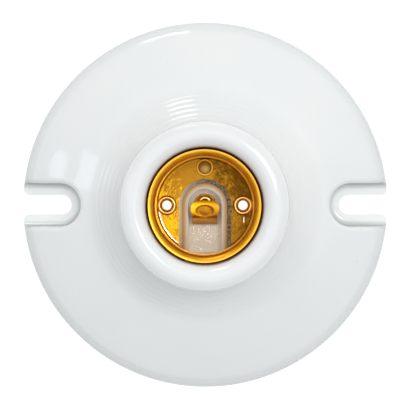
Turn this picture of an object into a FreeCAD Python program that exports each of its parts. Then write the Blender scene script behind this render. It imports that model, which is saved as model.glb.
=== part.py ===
import FreeCAD, Part
import math
import os
import Sketcher

# Porcelain lamp holder for an E27 lamp, in millimetres.
# The back face is z = 0 and the lamp goes in along +Z. X runs through the two screw slots,
# and +Y is the top of the holder as it is drawn.

SIZES = {
    # Outside of the pressed porcelain dish
    "base_r": 49.0,
    "foot_edge_r": 1.0,
    "rim_height": 3.5,
    "shoulder_r": 5.0,
    "shoulder_slope": 25.0,
    "dome_past_ledge": 0.65,
    "dome_in_slope": 13.0,
    "sweep_width": 2.1,
    "ring_slope": 23.0,
    "neck_fillet_r": 1.8,
    "neck_draft": 3.0,
    "total_height": 42.0,
    "crown_in_r": 3.1,
    "crown_top_r": 5.2,
    "crown_slope": 26.0,
    "crown_edge_r": 1.6,
    # Well for the screw shell, and the web of porcelain across it
    "well_draft": 0.3,
    "web_top": 21.0,
    "web_thick": 6.5,
    "wall": 5.0,
    "roof_bend_r": 24.0,
    "hollow_edge_r": 2.0,
    # Raised wall on the web, inside the shell, and the pocket that it guards
    "ridge_in_r": 4.3,
    "ridge_thick": 1.35,
    "ridge_height": 2.2,
    "ridge_end_gap": 0.5,
    "pocket_depth": 2.0,
    # Screw slots, open at the rim, each with a sunk ledge for the screw's head
    "slot_centre": 38.6,
    "slot_half": 2.6,
    "slot_mouth_r": 1.6,
    "ledge_half": 5.75,
    "ledge_height": 4.0,
    "ledge_edge_r": 1.2,
    "lug_wall": 3.4,
    # Creepage wall on the back, between the two terminals
    "barrier_in": 4.0,
    "barrier_thick": 1.5,
    "barrier_height": 5.0,
    # Brass screw shell, drawn from sheet
    "sheet": 0.35,
    "thread_minor_r": 12.3,
    "thread_depth": 1.0,
    "thread_round_r": 1.025,
    "thread_pitch": 3.629,
    "thread_start": 1.6,
    "thread_end": 1.6,
    "skirt_gap": 0.3,
    "skirt_height": 4.6,
    "skirt_step": 0.6,
    "shell_corner_r": 1.2,
    "lip_r": 1.35,
    "shell_sunk": 1.5,
    "floor_cut_up": 1.2,
    # Tubular eyelets that hold the shell to the web
    "eyelet_inset": 2.75,
    "eyelet_r": 1.55,
    "eyelet_bore_r": 1.2,
    "eyelet_head_r": 2.55,
    "eyelet_head": 0.7,
    # Folded centre contact and its rivet
    "contact_sheet": 0.4,
    "contact_half": 3.7,
    "contact_base_r": 3.1,
    "contact_fold_y": 4.9,
    "contact_bend_r": 0.9,
    "contact_height": 6.6,
    "contact_crest_r": 2.4,
    "contact_rise": 66.0,
    "contact_tip_fall": 30.0,
    "contact_tip_long": 1.1,
    "rivet_y": 0.6,
    "rivet_r": 1.2,
    "rivet_head_r": 2.2,
    "rivet_head": 0.8,
    # Terminals on the back of the web
    "plate_thick": 1.0,
    "neutral_half": 3.2,
    "live_half": 3.5,
    "live_y": 11.0,
    "neutral_inset": 2.8,
    "washer_half": 3.1,
    "washer_thick": 0.8,
    "washer_gap": 0.2,
    # Terminal screws
    "screw_r": 1.675,
    "screw_head_r": 3.0,
    "screw_head": 2.2,
    "screw_slot_half": 0.45,
    "screw_slot_deep": 1.1,
    "live_screw_long": 4.2,
    "collar_wall": 0.4,
    "collar_height": 0.6,
    # Named clearances, and how far a cut runs past what it cuts
    "past": 1.0,
    "mouth_gap": 0.6,
    "floor_cut_gap": 1.15,
    "barrier_end_gap": 2.25,
    "hole_gap": 0.1,
    "thread_gap": 0.05,
    "web_hole_gap": 0.35,
    "screw_tip_gap": 0.7,
}

# Worked out from the sizes above, in order
WORKED_OUT = {
    "web_low": "web_top - web_thick",
    "land_out_r": "thread_minor_r + sheet",
    "shell_lip_r": "land_out_r + lip_r",
    "mouth_r": "shell_lip_r + mouth_gap",
    "well_floor_r": "mouth_r - well_draft",
    "foot_flat_r": "base_r - foot_edge_r",
    "ledge_in": "slot_centre - ledge_half",
    "dome_in_r": "ledge_in - ledge_edge_r - dome_past_ledge",
    "shoulder_in_r": "base_r - shoulder_r * (1 - sin(shoulder_slope))",
    "shoulder_in_z": "rim_height + shoulder_r * cos(shoulder_slope)",
    "dome_arc_r": "(shoulder_in_r - dome_in_r) / (sin(shoulder_slope) - sin(dome_in_slope))",
    "dome_in_z": "shoulder_in_z + dome_arc_r * (cos(dome_in_slope) - cos(shoulder_slope))",
    "crown_mid_r": "mouth_r + crown_in_r",
    "crown_low_z": "total_height - crown_in_r",
    "crown_out_r": "crown_mid_r + crown_top_r * sin(crown_slope)",
    "crown_out_z": "total_height - crown_top_r * (1 - cos(crown_slope))",
    "neck_top_r": "crown_out_r + crown_edge_r * (cos(neck_draft) - sin(crown_slope))",
    "neck_top_z": "crown_out_z - crown_edge_r * (cos(crown_slope) - sin(neck_draft))",
    "sweep_r": "sweep_width / (sin(ring_slope) - sin(dome_in_slope))",
    "ring_out_r": "dome_in_r - sweep_width",
    "ring_out_z": "dome_in_z + sweep_r * (cos(dome_in_slope) - cos(ring_slope))",
    "fillet_line_z": "ring_out_z + ring_out_r * tan(ring_slope) + neck_fillet_r / cos(ring_slope)",
    "fillet_mid_r": "(neck_top_r + neck_fillet_r / cos(neck_draft) + tan(neck_draft)"
                    " * (neck_top_z - fillet_line_z)) / (1 - tan(neck_draft) * tan(ring_slope))",
    "fillet_mid_z": "fillet_line_z - fillet_mid_r * tan(ring_slope)",
    "ring_in_r": "fillet_mid_r - neck_fillet_r * sin(ring_slope)",
    "ring_in_z": "fillet_mid_z - neck_fillet_r * cos(ring_slope)",
    "neck_low_r": "fillet_mid_r - neck_fillet_r * cos(neck_draft)",
    "neck_low_z": "fillet_mid_z - neck_fillet_r * sin(neck_draft)",
    "hollow_r": "shoulder_in_r - wall * sin(shoulder_slope)",
    "hollow_rim_z": "shoulder_in_z - wall * cos(shoulder_slope)",
    "roof_arc_r": "dome_arc_r - wall",
    "roof_in_r": "dome_in_r - wall * sin(dome_in_slope)",
    "roof_in_z": "dome_in_z - wall * cos(dome_in_slope)",
    "roof_mid_r": "roof_in_r + roof_bend_r * sin(dome_in_slope)",
    "roof_mid_up": "roof_in_z + roof_bend_r * cos(dome_in_slope) - web_low",
    "hub_r": "roof_mid_r - sqrt(roof_bend_r * roof_bend_r - roof_mid_up * roof_mid_up)",
    "foot_lip_r": "hollow_r + foot_edge_r",
    "cut_end": "base_r + past",
    "slot_in": "slot_centre - slot_half",
    "lug_half": "ledge_half + lug_wall",
    "lug_in": "slot_centre - lug_half",
    "mouth_half": "slot_half + slot_mouth_r",
    "mouth_out": "sqrt(base_r * base_r - mouth_half * mouth_half)",
    "mouth_in": "mouth_out - slot_mouth_r",
    "ridge_out_r": "ridge_in_r + ridge_thick",
    "skirt_in_r": "thread_minor_r + skirt_gap",
    "skirt_out_r": "skirt_in_r + sheet",
    "eyelet_x": "skirt_in_r - eyelet_inset",
    "neutral_y": "skirt_in_r - neutral_inset",
    "floor_cut_half": "ridge_out_r + floor_cut_gap",
    "ridge_end": "skirt_in_r - ridge_end_gap",
    "pocket_floor": "web_top - pocket_depth",
    "barrier_out": "barrier_in + barrier_thick",
    "barrier_end": "sqrt(hub_r * hub_r - barrier_out * barrier_out) - barrier_end_gap",
    "barrier_in_top": "rivet_y + barrier_in",
    "barrier_out_top": "rivet_y + barrier_out",
    "floor_top": "web_top + sheet",
    "shell_top": "total_height - shell_sunk",
    "lip_in_r": "lip_r + sheet",
    "lip_low": "shell_top - lip_in_r",
    "lip_edge": "shell_top - sheet",
    "shell_corner_in": "shell_corner_r - sheet",
    "floor_edge_out": "skirt_out_r - shell_corner_r",
    "floor_edge_in": "skirt_in_r - shell_corner_in",
    "corner_top": "web_top + shell_corner_r",
    "skirt_top": "web_top + skirt_height",
    "land_low": "skirt_top + skirt_step",
    "thread_low": "land_low + thread_start",
    "thread_long": "lip_low - thread_end - thread_low",
    "groove_r": "thread_minor_r + thread_depth",
    "groove_mid_r": "groove_r - thread_round_r",
    "rib_round_r": "thread_round_r + sheet",
    "cut_low": "skirt_out_r + past",
    "cut_deep": "sheet + floor_cut_up",
    "hole_r": "eyelet_r + hole_gap",
    "collar_r": "screw_r + thread_gap + collar_wall",
    "tapped_r": "screw_r + thread_gap",
    "web_hole_r": "screw_r + web_hole_gap",
    "plate_low": "web_low - plate_thick",
    "washer_top": "plate_low - washer_gap",
    "washer_low": "washer_top - washer_thick",
    "head_low": "washer_low - screw_head",
    "tip_high": "floor_top + collar_height",
    "live_hole_deep": "live_screw_long - washer_thick - washer_gap - plate_thick + screw_tip_gap",
    "eyelet_top": "floor_top + eyelet_head",
    "eyelet_low": "plate_low - eyelet_head",
    "eyelet_roll_r": "eyelet_head / 2",
    "eyelet_roll_in": "eyelet_bore_r + eyelet_head / 2",
    "eyelet_roll_out": "eyelet_head_r - eyelet_head / 2",
    "contact_top": "pocket_floor + contact_sheet",
    "rivet_top": "contact_top + rivet_head",
    "rivet_low": "plate_low - rivet_head",
    "rivet_hole_r": "rivet_r + hole_gap",
    "rivet_round": "rivet_head * 0.9",
    "rivet_flat": "rivet_head_r - rivet_round",
    "band_in": "eyelet_x - neutral_half",
    "band_out": "eyelet_x + neutral_half",
    "live_top": "rivet_y + live_half",
    "live_low": "live_y + live_half",
    "head_slot_end": "screw_head_r + past",
    "collar_up": "sheet + collar_height",
    "rib_round_r_low": "thread_low - rib_round_r",
    "rib_round_r_high": "thread_low + rib_round_r",
    "rib_round_r_out": "groove_mid_r + rib_round_r",
    "thread_round_r_low": "thread_low - thread_round_r",
    "thread_round_r_high": "thread_low + thread_round_r",
    "thread_round_r_out": "groove_mid_r + thread_round_r",
    "contact_wide": "contact_half * 2",
    "contact_past": "contact_half + past",
    "roll_low": "plate_low - eyelet_roll_r",
    "roll_high": "floor_top + eyelet_roll_r",
    "live_screw_top": "washer_low + live_screw_long",
    "fold_out_r": "contact_bend_r + contact_sheet",
    "fold_mid_y": "contact_fold_y - fold_out_r",
    "fold_mid_z": "pocket_floor + fold_out_r",
    "crest_in_r": "contact_crest_r - contact_sheet",
    "crest_mid_z": "pocket_floor + contact_height - contact_crest_r",
    "crest_more_r": "contact_crest_r - fold_out_r",
    "tongue_long": "(crest_mid_z - fold_mid_z + crest_more_r * cos(contact_rise)) / sin(contact_rise)",
    "crest_mid_y": "tongue_long * cos(contact_rise) + crest_more_r * sin(contact_rise) - fold_mid_y",
    "fold_out_y": "-fold_mid_y - fold_out_r * sin(contact_rise)",
    "fold_out_z": "fold_mid_z + fold_out_r * cos(contact_rise)",
    "fold_in_y": "-fold_mid_y - contact_bend_r * sin(contact_rise)",
    "fold_in_z": "fold_mid_z + contact_bend_r * cos(contact_rise)",
    "crest_out_y": "crest_mid_y - contact_crest_r * sin(contact_rise)",
    "crest_out_z": "crest_mid_z + contact_crest_r * cos(contact_rise)",
    "crest_in_y": "crest_mid_y - crest_in_r * sin(contact_rise)",
    "crest_in_z": "crest_mid_z + crest_in_r * cos(contact_rise)",
    "fall_out_y": "crest_mid_y + contact_crest_r * sin(contact_tip_fall)",
    "fall_out_z": "crest_mid_z + contact_crest_r * cos(contact_tip_fall)",
    "fall_in_y": "crest_mid_y + crest_in_r * sin(contact_tip_fall)",
    "fall_in_z": "crest_mid_z + crest_in_r * cos(contact_tip_fall)",
    "tip_out_y": "fall_out_y + contact_tip_long * cos(contact_tip_fall)",
    "tip_out_z": "fall_out_z - contact_tip_long * sin(contact_tip_fall)",
    "tip_in_y": "fall_in_y + contact_tip_long * cos(contact_tip_fall)",
    "tip_in_z": "fall_in_z - contact_tip_long * sin(contact_tip_fall)",
}

# Two points nearer than this are the same point
NEAR = 0.01

doc = FreeCAD.newDocument("lamp_holder")
sheet = doc.addObject("Spreadsheet::Sheet", "Sizes")


def fill_sheet():
    """Driving sizes go in columns A and B, and what follows from them in C and D."""
    for row, (name, value) in enumerate(SIZES.items(), start=1):
        sheet.set("A%d" % row, name)
        sheet.set("B%d" % row, str(value))
        sheet.setAlias("B%d" % row, name)
    for row, (name, formula) in enumerate(WORKED_OUT.items(), start=1):
        sheet.set("C%d" % row, name)
        sheet.set("D%d" % row, "=" + formula)
        sheet.setAlias("D%d" % row, name)
    doc.recompute()


def amount(text):
    """The value of a sheet name, which may have a minus sign, or of 0."""
    if text == "0":
        return 0.0
    if text.startswith("-"):
        return -float(sheet.get(text[1:]))
    return float(sheet.get(text))


def other_way(text):
    """The same distance on the other side of the axis."""
    if text == "0":
        return text
    return text[1:] if text.startswith("-") else "-" + text


def tie(thing, prop, text):
    """Bind a property to a name in the sheet."""
    if text.startswith("-"):
        thing.setExpression(prop, "-Sizes." + text[1:])
    else:
        thing.setExpression(prop, "Sizes." + text)


def new_body(name):
    body = doc.addObject("PartDesign::Body", name)
    body.Label = name
    return body


def new_sketch(body, name, role="XY_Plane", height="0"):
    """An empty sketch on one of the body's own planes, raised by a named height."""
    sketch = body.newObject("Sketcher::SketchObject", name)
    plane = [item for item in body.Origin.OriginFeatures if item.Role == role][0]
    sketch.AttachmentSupport = [(plane, "")]
    sketch.MapMode = "FlatFace"
    if height != "0":
        tie(sketch, "AttachmentOffset.Base.z", height)
    return sketch


def pin_down(sketch, item, end, x_text, y_text):
    """Fix one point of a sketch to the named distances from the origin."""
    for kind, text, axis in (("DistanceX", x_text, -2), ("DistanceY", y_text, -1)):
        if text == "0":
            sketch.addConstraint(Sketcher.Constraint("PointOnObject", item, end, axis))
            continue
        rule = Sketcher.Constraint(kind, -1, 1, item, end, amount(text))
        number = sketch.addConstraint(rule)
        tie(sketch, "Constraints[%d]" % number, text)


def arc_between(start, finish, radius, turn):
    """The arc of a given radius that leaves start and bends left or right to finish."""
    half = (finish - start) * 0.5
    rise = math.sqrt(max(radius * radius - half.Length * half.Length, 0.0))
    side = FreeCAD.Vector(-half.y, half.x, 0).normalize()
    if turn == "right":
        side = -side
    centre = start + half + side * rise
    middle = centre - side * radius
    return Part.Arc(start, middle, finish)


def outline(sketch, corners):
    """
    A closed outline. Each corner is (x, y) where a straight edge leaves it, and
    (x, y, "left" or "right", radius) where an arc does.
    """
    points = [FreeCAD.Vector(amount(corner[0]), amount(corner[1]), 0) for corner in corners]
    count = len(corners)
    items = []
    for place, corner in enumerate(corners):
        start = points[place]
        finish = points[(place + 1) % count]
        if len(corner) == 4:
            edge = arc_between(start, finish, amount(corner[3]), corner[2])
        else:
            edge = Part.LineSegment(start, finish)
        items.append(sketch.addGeometry(edge))
    # An arc that bends right is stored the other way round
    ends = [(2, 1) if len(corner) == 4 and corner[2] == "right" else (1, 2) for corner in corners]
    for place, corner in enumerate(corners):
        after = (place + 1) % count
        sketch.addConstraint(
            Sketcher.Constraint("Coincident", items[place], ends[place][1], items[after], ends[after][0])
        )
        pin_down(sketch, items[place], ends[place][0], corner[0], corner[1])
        if len(corner) == 4:
            number = sketch.addConstraint(Sketcher.Constraint("Radius", items[place], amount(corner[3])))
            tie(sketch, "Constraints[%d]" % number, corner[3])


def ring(sketch, x_text, y_text, radius):
    """A circle of a named radius."""
    middle = FreeCAD.Vector(amount(x_text), amount(y_text), 0)
    item = sketch.addGeometry(Part.Circle(middle, FreeCAD.Vector(0, 0, 1), amount(radius)))
    if x_text == "0" and y_text == "0":
        sketch.addConstraint(Sketcher.Constraint("Coincident", item, 3, -1, 1))
    else:
        pin_down(sketch, item, 3, x_text, y_text)
    number = sketch.addConstraint(Sketcher.Constraint("Radius", item, amount(radius)))
    tie(sketch, "Constraints[%d]" % number, radius)


def turned(body, name, corners, cut=False):
    """A solid turned about Z from its half section, or the same taken away."""
    sketch = new_sketch(body, name + "_section", "XZ_Plane")
    outline(sketch, corners)
    before = body.Shape.Volume if cut else 0.0
    feature = body.newObject("PartDesign::Groove" if cut else "PartDesign::Revolution", name)
    feature.Profile = sketch
    feature.ReferenceAxis = (sketch, ["V_Axis"])
    feature.Angle = 360
    doc.recompute()
    if cut and body.Shape.Volume > before - 1e-3:
        raise RuntimeError(name + " cuts nothing")
    return feature


def grown(body, name, sketch, length, down=False):
    """Material added on a sketch, upwards or down."""
    feature = body.newObject("PartDesign::Pad", name)
    feature.Profile = sketch
    tie(feature, "Length", length)
    feature.Reversed = down
    doc.recompute()
    return feature


def sunk(body, name, sketch, length=None, up=False):
    """Material taken away below a sketch, or above it, to a named depth or right through."""
    before = body.Shape.Volume
    feature = body.newObject("PartDesign::Pocket", name)
    feature.Profile = sketch
    if length is None:
        feature.Type = "ThroughAll"
    else:
        tie(feature, "Length", length)
    feature.Reversed = up
    doc.recompute()
    if body.Shape.Volume > before - 1e-3:
        raise RuntimeError(name + " cuts nothing")
    return feature


def sided(side, corners):
    """Corners given for the right side, or the same mirrored to the left."""
    if side == "right":
        return corners
    turns = {"left": "right", "right": "left"}
    return [
        (other_way(corner[0]), corner[1]) + ((turns[corner[2]], corner[3]) if len(corner) == 4 else ())
        for corner in corners
    ]


def u_shape(sketch, side, centre, half, inner):
    """A slot outline with a round inner end, open past the rim on one side of X."""
    outline(sketch, sided(side, [
        (centre, half, "left", half),
        (inner, "0", "left", half),
        (centre, "-" + half),
        ("cut_end", "-" + half),
        ("cut_end", half),
    ]))


def rounded(body, name, chosen, radius):
    """Round the edges for which chosen(edge) is true, by a named radius."""
    base = body.Tip
    names = ["Edge%d" % number for number, edge in enumerate(base.Shape.Edges, start=1) if chosen(edge)]
    feature = body.newObject("PartDesign::Fillet", name)
    feature.Base = (base, names)
    tie(feature, "Radius", radius)
    doc.recompute()
    return feature


def middle_of(edge):
    return edge.valueAt((edge.FirstParameter + edge.LastParameter) / 2)


def on_ledge_edge(edge):
    """The upper edge of either ledge's wall, where it meets the dome."""
    point = middle_of(edge)
    if point.z < amount("ledge_height") + NEAR or abs(point.x) < amount("ledge_in") - NEAR:
        return False
    ends = [corner.Point for corner in edge.Vertexes]
    if len(ends) == 2 and math.hypot(ends[0].x - ends[1].x, ends[0].y - ends[1].y) < NEAR:
        return False
    across = max(amount("slot_centre") - abs(point.x), 0.0)
    return abs(math.hypot(across, point.y) - amount("ledge_half")) < NEAR


def on_hollow_edge(edge):
    """The corner under the rim and the one round the web, in the hollow back."""
    point = middle_of(edge)
    reach = math.hypot(point.x, point.y)
    rim = abs(reach - amount("hollow_r")) + abs(point.z - amount("hollow_rim_z"))
    hub = abs(reach - amount("hub_r")) + abs(point.z - amount("web_low"))
    return min(rim, hub) < NEAR


def u_band(sketch, middle_y, inner, outer, inner_top, outer_top, end):
    """A band that goes round the axis at the top and runs straight towards -Y."""
    outline(sketch, [
        (outer, middle_y, "left", outer),
        ("0", outer_top, "left", outer),
        ("-" + outer, middle_y),
        ("-" + outer, "-" + end),
        ("-" + inner, "-" + end),
        ("-" + inner, middle_y, "right", inner),
        ("0", inner_top, "right", inner),
        (inner, middle_y),
        (inner, "-" + end),
        (outer, "-" + end),
    ])


def make_blank():
    """The porcelain as pressed from the front, still full at the back."""
    body = new_body("porcelain_blank")
    turned(body, "dish", [
        ("0", "0"),
        ("foot_flat_r", "0", "left", "foot_edge_r"),
        ("base_r", "foot_edge_r"),
        ("base_r", "rim_height", "left", "shoulder_r"),
        ("shoulder_in_r", "shoulder_in_z", "left", "dome_arc_r"),
        ("dome_in_r", "dome_in_z", "right", "sweep_r"),
        ("ring_out_r", "ring_out_z"),
        ("ring_in_r", "ring_in_z", "right", "neck_fillet_r"),
        ("neck_low_r", "neck_low_z"),
        ("neck_top_r", "neck_top_z", "left", "crown_edge_r"),
        ("crown_out_r", "crown_out_z", "left", "crown_top_r"),
        ("crown_mid_r", "total_height", "left", "crown_in_r"),
        ("mouth_r", "crown_low_z"),
        ("well_floor_r", "web_top"),
        ("0", "web_top"),
    ])
    ridge = new_sketch(body, "ridge_plan", height="web_top")
    u_band(ridge, "0", "ridge_in_r", "ridge_out_r", "ridge_in_r", "ridge_out_r", "ridge_end")
    grown(body, "ridge", ridge, "ridge_height")
    pocket = new_sketch(body, "contact_pocket_plan", height="web_top")
    outline(pocket, [
        ("ridge_in_r", "0", "left", "ridge_in_r"),
        ("0", "ridge_in_r", "left", "ridge_in_r"),
        ("-ridge_in_r", "0"),
        ("-ridge_in_r", "-ridge_end"),
        ("ridge_in_r", "-ridge_end"),
    ])
    sunk(body, "contact_pocket", pocket, "pocket_depth")
    for side in ("right", "left"):
        ledge = new_sketch(body, side + "_ledge_plan", height="ledge_height")
        u_shape(ledge, side, "slot_centre", "ledge_half", "ledge_in")
        sunk(body, side + "_ledge", ledge, up=True)
        slot = new_sketch(body, side + "_slot_plan", height="total_height")
        outline(slot, sided(side, [
            ("slot_centre", "slot_half", "left", "slot_half"),
            ("slot_in", "0", "left", "slot_half"),
            ("slot_centre", "-slot_half"),
            ("mouth_in", "-slot_half", "right", "slot_mouth_r"),
            ("mouth_out", "-mouth_half"),
            ("cut_end", "-mouth_half"),
            ("cut_end", "mouth_half"),
            ("mouth_out", "mouth_half", "right", "slot_mouth_r"),
            ("mouth_in", "slot_half"),
        ]))
        sunk(body, side + "_slot", slot)
    rounded(body, "ledge_edges", on_ledge_edge, "ledge_edge_r")
    holes = new_sketch(body, "web_holes_plan", height="web_top")
    ring(holes, "eyelet_x", "0", "hole_r")
    ring(holes, "-eyelet_x", "0", "hole_r")
    ring(holes, "0", "neutral_y", "web_hole_r")
    ring(holes, "0", "rivet_y", "rivet_hole_r")
    sunk(body, "web_holes", holes, "web_thick")
    return body


def make_back_hollow():
    """The plunger that presses the hollow back, with walls of even thickness round it."""
    body = new_body("back_hollow")
    turned(body, "hollow", [
        ("0", "-past"),
        ("foot_lip_r", "-past"),
        ("foot_lip_r", "0", "right", "foot_edge_r"),
        ("hollow_r", "foot_edge_r"),
        ("hollow_r", "hollow_rim_z", "left", "roof_arc_r"),
        ("roof_in_r", "roof_in_z", "right", "roof_bend_r"),
        ("hub_r", "web_low"),
        ("0", "web_low"),
    ])
    for side in ("right", "left"):
        lug = new_sketch(body, side + "_lug_plan", height="total_height")
        u_shape(lug, side, "slot_centre", "lug_half", "lug_in")
        sunk(body, side + "_lug", lug)
    barrier = new_sketch(body, "barrier_plan", height="web_low")
    u_band(
        barrier, "rivet_y", "barrier_in", "barrier_out", "barrier_in_top", "barrier_out_top", "barrier_end"
    )
    sunk(body, "barrier", barrier, "barrier_height")
    rounded(body, "hollow_edges", on_hollow_edge, "hollow_edge_r")
    pin = new_sketch(body, "live_hole_plan", height="web_low")
    ring(pin, "0", "-live_y", "web_hole_r")
    grown(body, "live_hole", pin, "live_hole_deep")
    return body


def make_porcelain():
    blank = make_blank()
    hollow = make_back_hollow()
    porcelain = doc.addObject("Part::Cut", "porcelain_body")
    porcelain.Label = "porcelain_body"
    porcelain.Base = blank
    porcelain.Tool = hollow
    doc.recompute()
    return porcelain


def make_shell():
    """Drawn brass cup with a rolled round thread and a flared lip."""
    body = new_body("screw_shell")
    turned(body, "outside", [
        ("0", "web_top"),
        ("floor_edge_out", "web_top", "left", "shell_corner_r"),
        ("skirt_out_r", "corner_top"),
        ("skirt_out_r", "skirt_top"),
        ("land_out_r", "land_low"),
        ("land_out_r", "lip_low", "right", "lip_r"),
        ("shell_lip_r", "lip_edge"),
        ("shell_lip_r", "shell_top"),
        ("0", "shell_top"),
    ])
    rib = new_sketch(body, "thread_rib_section", "XZ_Plane")
    thread_round(rib, "rib_round_r")
    helix(body, "PartDesign::AdditiveHelix", "thread_rib", rib)
    turned(body, "inside", [
        ("0", "floor_top"),
        ("floor_edge_in", "floor_top", "left", "shell_corner_in"),
        ("skirt_in_r", "corner_top"),
        ("skirt_in_r", "skirt_top"),
        ("thread_minor_r", "land_low"),
        ("thread_minor_r", "lip_low", "right", "lip_in_r"),
        ("shell_lip_r", "shell_top"),
        ("shell_lip_r", "total_height"),
        ("0", "total_height"),
    ], cut=True)
    groove = new_sketch(body, "thread_groove_section", "XZ_Plane")
    thread_round(groove, "thread_round_r")
    helix(body, "PartDesign::SubtractiveHelix", "thread_groove", groove)
    collar = new_sketch(body, "tapped_collar_plan", height="web_top")
    ring(collar, "0", "neutral_y", "collar_r")
    grown(body, "tapped_collar", collar, "collar_up")
    holes = new_sketch(body, "shell_holes_plan", height="shell_top")
    ring(holes, "eyelet_x", "0", "hole_r")
    ring(holes, "-eyelet_x", "0", "hole_r")
    ring(holes, "0", "neutral_y", "tapped_r")
    sunk(body, "shell_holes", holes)
    opening = new_sketch(body, "floor_cut_plan", height="web_top")
    outline(opening, [
        ("floor_cut_half", "0", "left", "floor_cut_half"),
        ("0", "floor_cut_half", "left", "floor_cut_half"),
        ("-floor_cut_half", "0"),
        ("-floor_cut_half", "-cut_low"),
        ("floor_cut_half", "-cut_low"),
    ])
    sunk(body, "floor_cut", opening, "cut_deep", up=True)
    return body


def thread_round(sketch, radius):
    """The round of the thread, a half disc whose flat side stands inside the wall."""
    outline(sketch, [
        ("groove_mid_r", radius + "_low", "left", radius),
        (radius + "_out", "thread_low", "left", radius),
        ("groove_mid_r", radius + "_high"),
    ])


def helix(body, kind, name, sketch):
    before = body.Shape.Volume
    feature = body.newObject(kind, name)
    feature.Profile = sketch
    feature.ReferenceAxis = (sketch, ["V_Axis"])
    feature.Mode = "pitch-height-angle"
    tie(feature, "Pitch", "thread_pitch")
    tie(feature, "Height", "thread_long")
    doc.recompute()
    if abs(body.Shape.Volume - before) < 1.0:
        raise RuntimeError(name + " changes nothing")
    return feature


def make_contact():
    """Brass strip, riveted flat, folded over and bent back to a sprung tongue."""
    body = new_body("centre_contact")
    side = new_sketch(body, "strip_side", "YZ_Plane")
    contact_side(side)
    strip = body.newObject("PartDesign::Pad", "strip")
    strip.Profile = side
    strip.Midplane = True
    tie(strip, "Length", "contact_wide")
    doc.recompute()
    trim = new_sketch(body, "strip_trim", height="shell_top")
    outline(trim, [
        ("contact_past", "0"),
        ("contact_past", "contact_past"),
        ("-contact_past", "contact_past"),
        ("-contact_past", "0"),
        ("-contact_base_r", "0", "right", "contact_base_r"),
        ("0", "contact_base_r", "right", "contact_base_r"),
        ("contact_base_r", "0"),
    ])
    sunk(body, "round_end", trim)
    hole = new_sketch(body, "rivet_hole_plan", height="contact_top")
    ring(hole, "0", "rivet_y", "rivet_hole_r")
    sunk(body, "rivet_hole", hole, "contact_sheet")
    return body


def contact_side(sketch):
    """The strip seen from the side: base, fold, rise, crest and the tip that turns down."""
    outline(sketch, [
        ("contact_base_r", "pocket_floor"),
        ("contact_base_r", "contact_top"),
        ("-fold_mid_y", "contact_top", "right", "contact_bend_r"),
        ("fold_in_y", "fold_in_z"),
        ("crest_in_y", "crest_in_z", "right", "crest_in_r"),
        ("fall_in_y", "fall_in_z"),
        ("tip_in_y", "tip_in_z"),
        ("tip_out_y", "tip_out_z"),
        ("fall_out_y", "fall_out_z", "left", "contact_crest_r"),
        ("crest_out_y", "crest_out_z"),
        ("fold_out_y", "fold_out_z", "left", "fold_out_r"),
        ("-fold_mid_y", "pocket_floor"),
    ])


def make_rivet():
    """Solid brass rivet through contact, web and live plate, with a low round head at each end."""
    body = new_body("contact_rivet")
    turned(body, "rivet", [
        ("0", "rivet_low"),
        ("rivet_flat", "rivet_low", "left", "rivet_round"),
        ("rivet_head_r", "plate_low"),
        ("rivet_r", "plate_low"),
        ("rivet_r", "contact_top"),
        ("rivet_head_r", "contact_top", "left", "rivet_round"),
        ("rivet_flat", "rivet_top"),
        ("0", "rivet_top"),
    ])
    tie(body, "Placement.Base.y", "rivet_y")
    return body


def make_eyelet(name, x_text):
    """Tubular brass eyelet, its two ends rolled over."""
    body = new_body(name)
    turned(body, "tube", [
        ("eyelet_bore_r", "roll_low"),
        ("eyelet_roll_in", "eyelet_low"),
        ("eyelet_roll_out", "eyelet_low", "left", "eyelet_roll_r"),
        ("eyelet_head_r", "roll_low", "left", "eyelet_roll_r"),
        ("eyelet_roll_out", "plate_low"),
        ("eyelet_r", "plate_low"),
        ("eyelet_r", "floor_top"),
        ("eyelet_roll_out", "floor_top", "left", "eyelet_roll_r"),
        ("eyelet_head_r", "roll_high", "left", "eyelet_roll_r"),
        ("eyelet_roll_out", "eyelet_top"),
        ("eyelet_roll_in", "eyelet_top", "left", "eyelet_roll_r"),
        ("eyelet_bore_r", "roll_high"),
    ])
    tie(body, "Placement.Base.x", x_text)
    return body


def make_neutral_plate():
    """Half ring of brass that joins both eyelets and carries the neutral screw."""
    body = new_body("neutral_terminal_plate")
    plan = new_sketch(body, "neutral_plan", height="plate_low")
    outline(plan, [
        ("band_out", "0", "left", "band_out"),
        ("0", "band_out", "left", "band_out"),
        ("-band_out", "0", "left", "neutral_half"),
        ("-eyelet_x", "-neutral_half", "left", "neutral_half"),
        ("-band_in", "0", "right", "band_in"),
        ("0", "band_in", "right", "band_in"),
        ("band_in", "0", "left", "neutral_half"),
        ("eyelet_x", "-neutral_half", "left", "neutral_half"),
    ])
    grown(body, "band", plan, "plate_thick")
    holes = new_sketch(body, "neutral_holes_plan", height="web_low")
    ring(holes, "eyelet_x", "0", "hole_r")
    ring(holes, "-eyelet_x", "0", "hole_r")
    ring(holes, "0", "neutral_y", "tapped_r")
    sunk(body, "neutral_holes", holes, "plate_thick")
    return body


def make_live_plate():
    """Brass strip from the contact's rivet to the live screw."""
    body = new_body("live_terminal_plate")
    plan = new_sketch(body, "live_plan", height="plate_low")
    outline(plan, [
        ("live_half", "rivet_y", "left", "live_half"),
        ("0", "live_top", "left", "live_half"),
        ("-live_half", "rivet_y"),
        ("-live_half", "-live_y", "left", "live_half"),
        ("0", "-live_low", "left", "live_half"),
        ("live_half", "-live_y"),
    ])
    grown(body, "strip", plan, "plate_thick")
    holes = new_sketch(body, "live_holes_plan", height="web_low")
    ring(holes, "0", "rivet_y", "rivet_hole_r")
    ring(holes, "0", "-live_y", "tapped_r")
    sunk(body, "live_holes", holes, "plate_thick")
    return body


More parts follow.
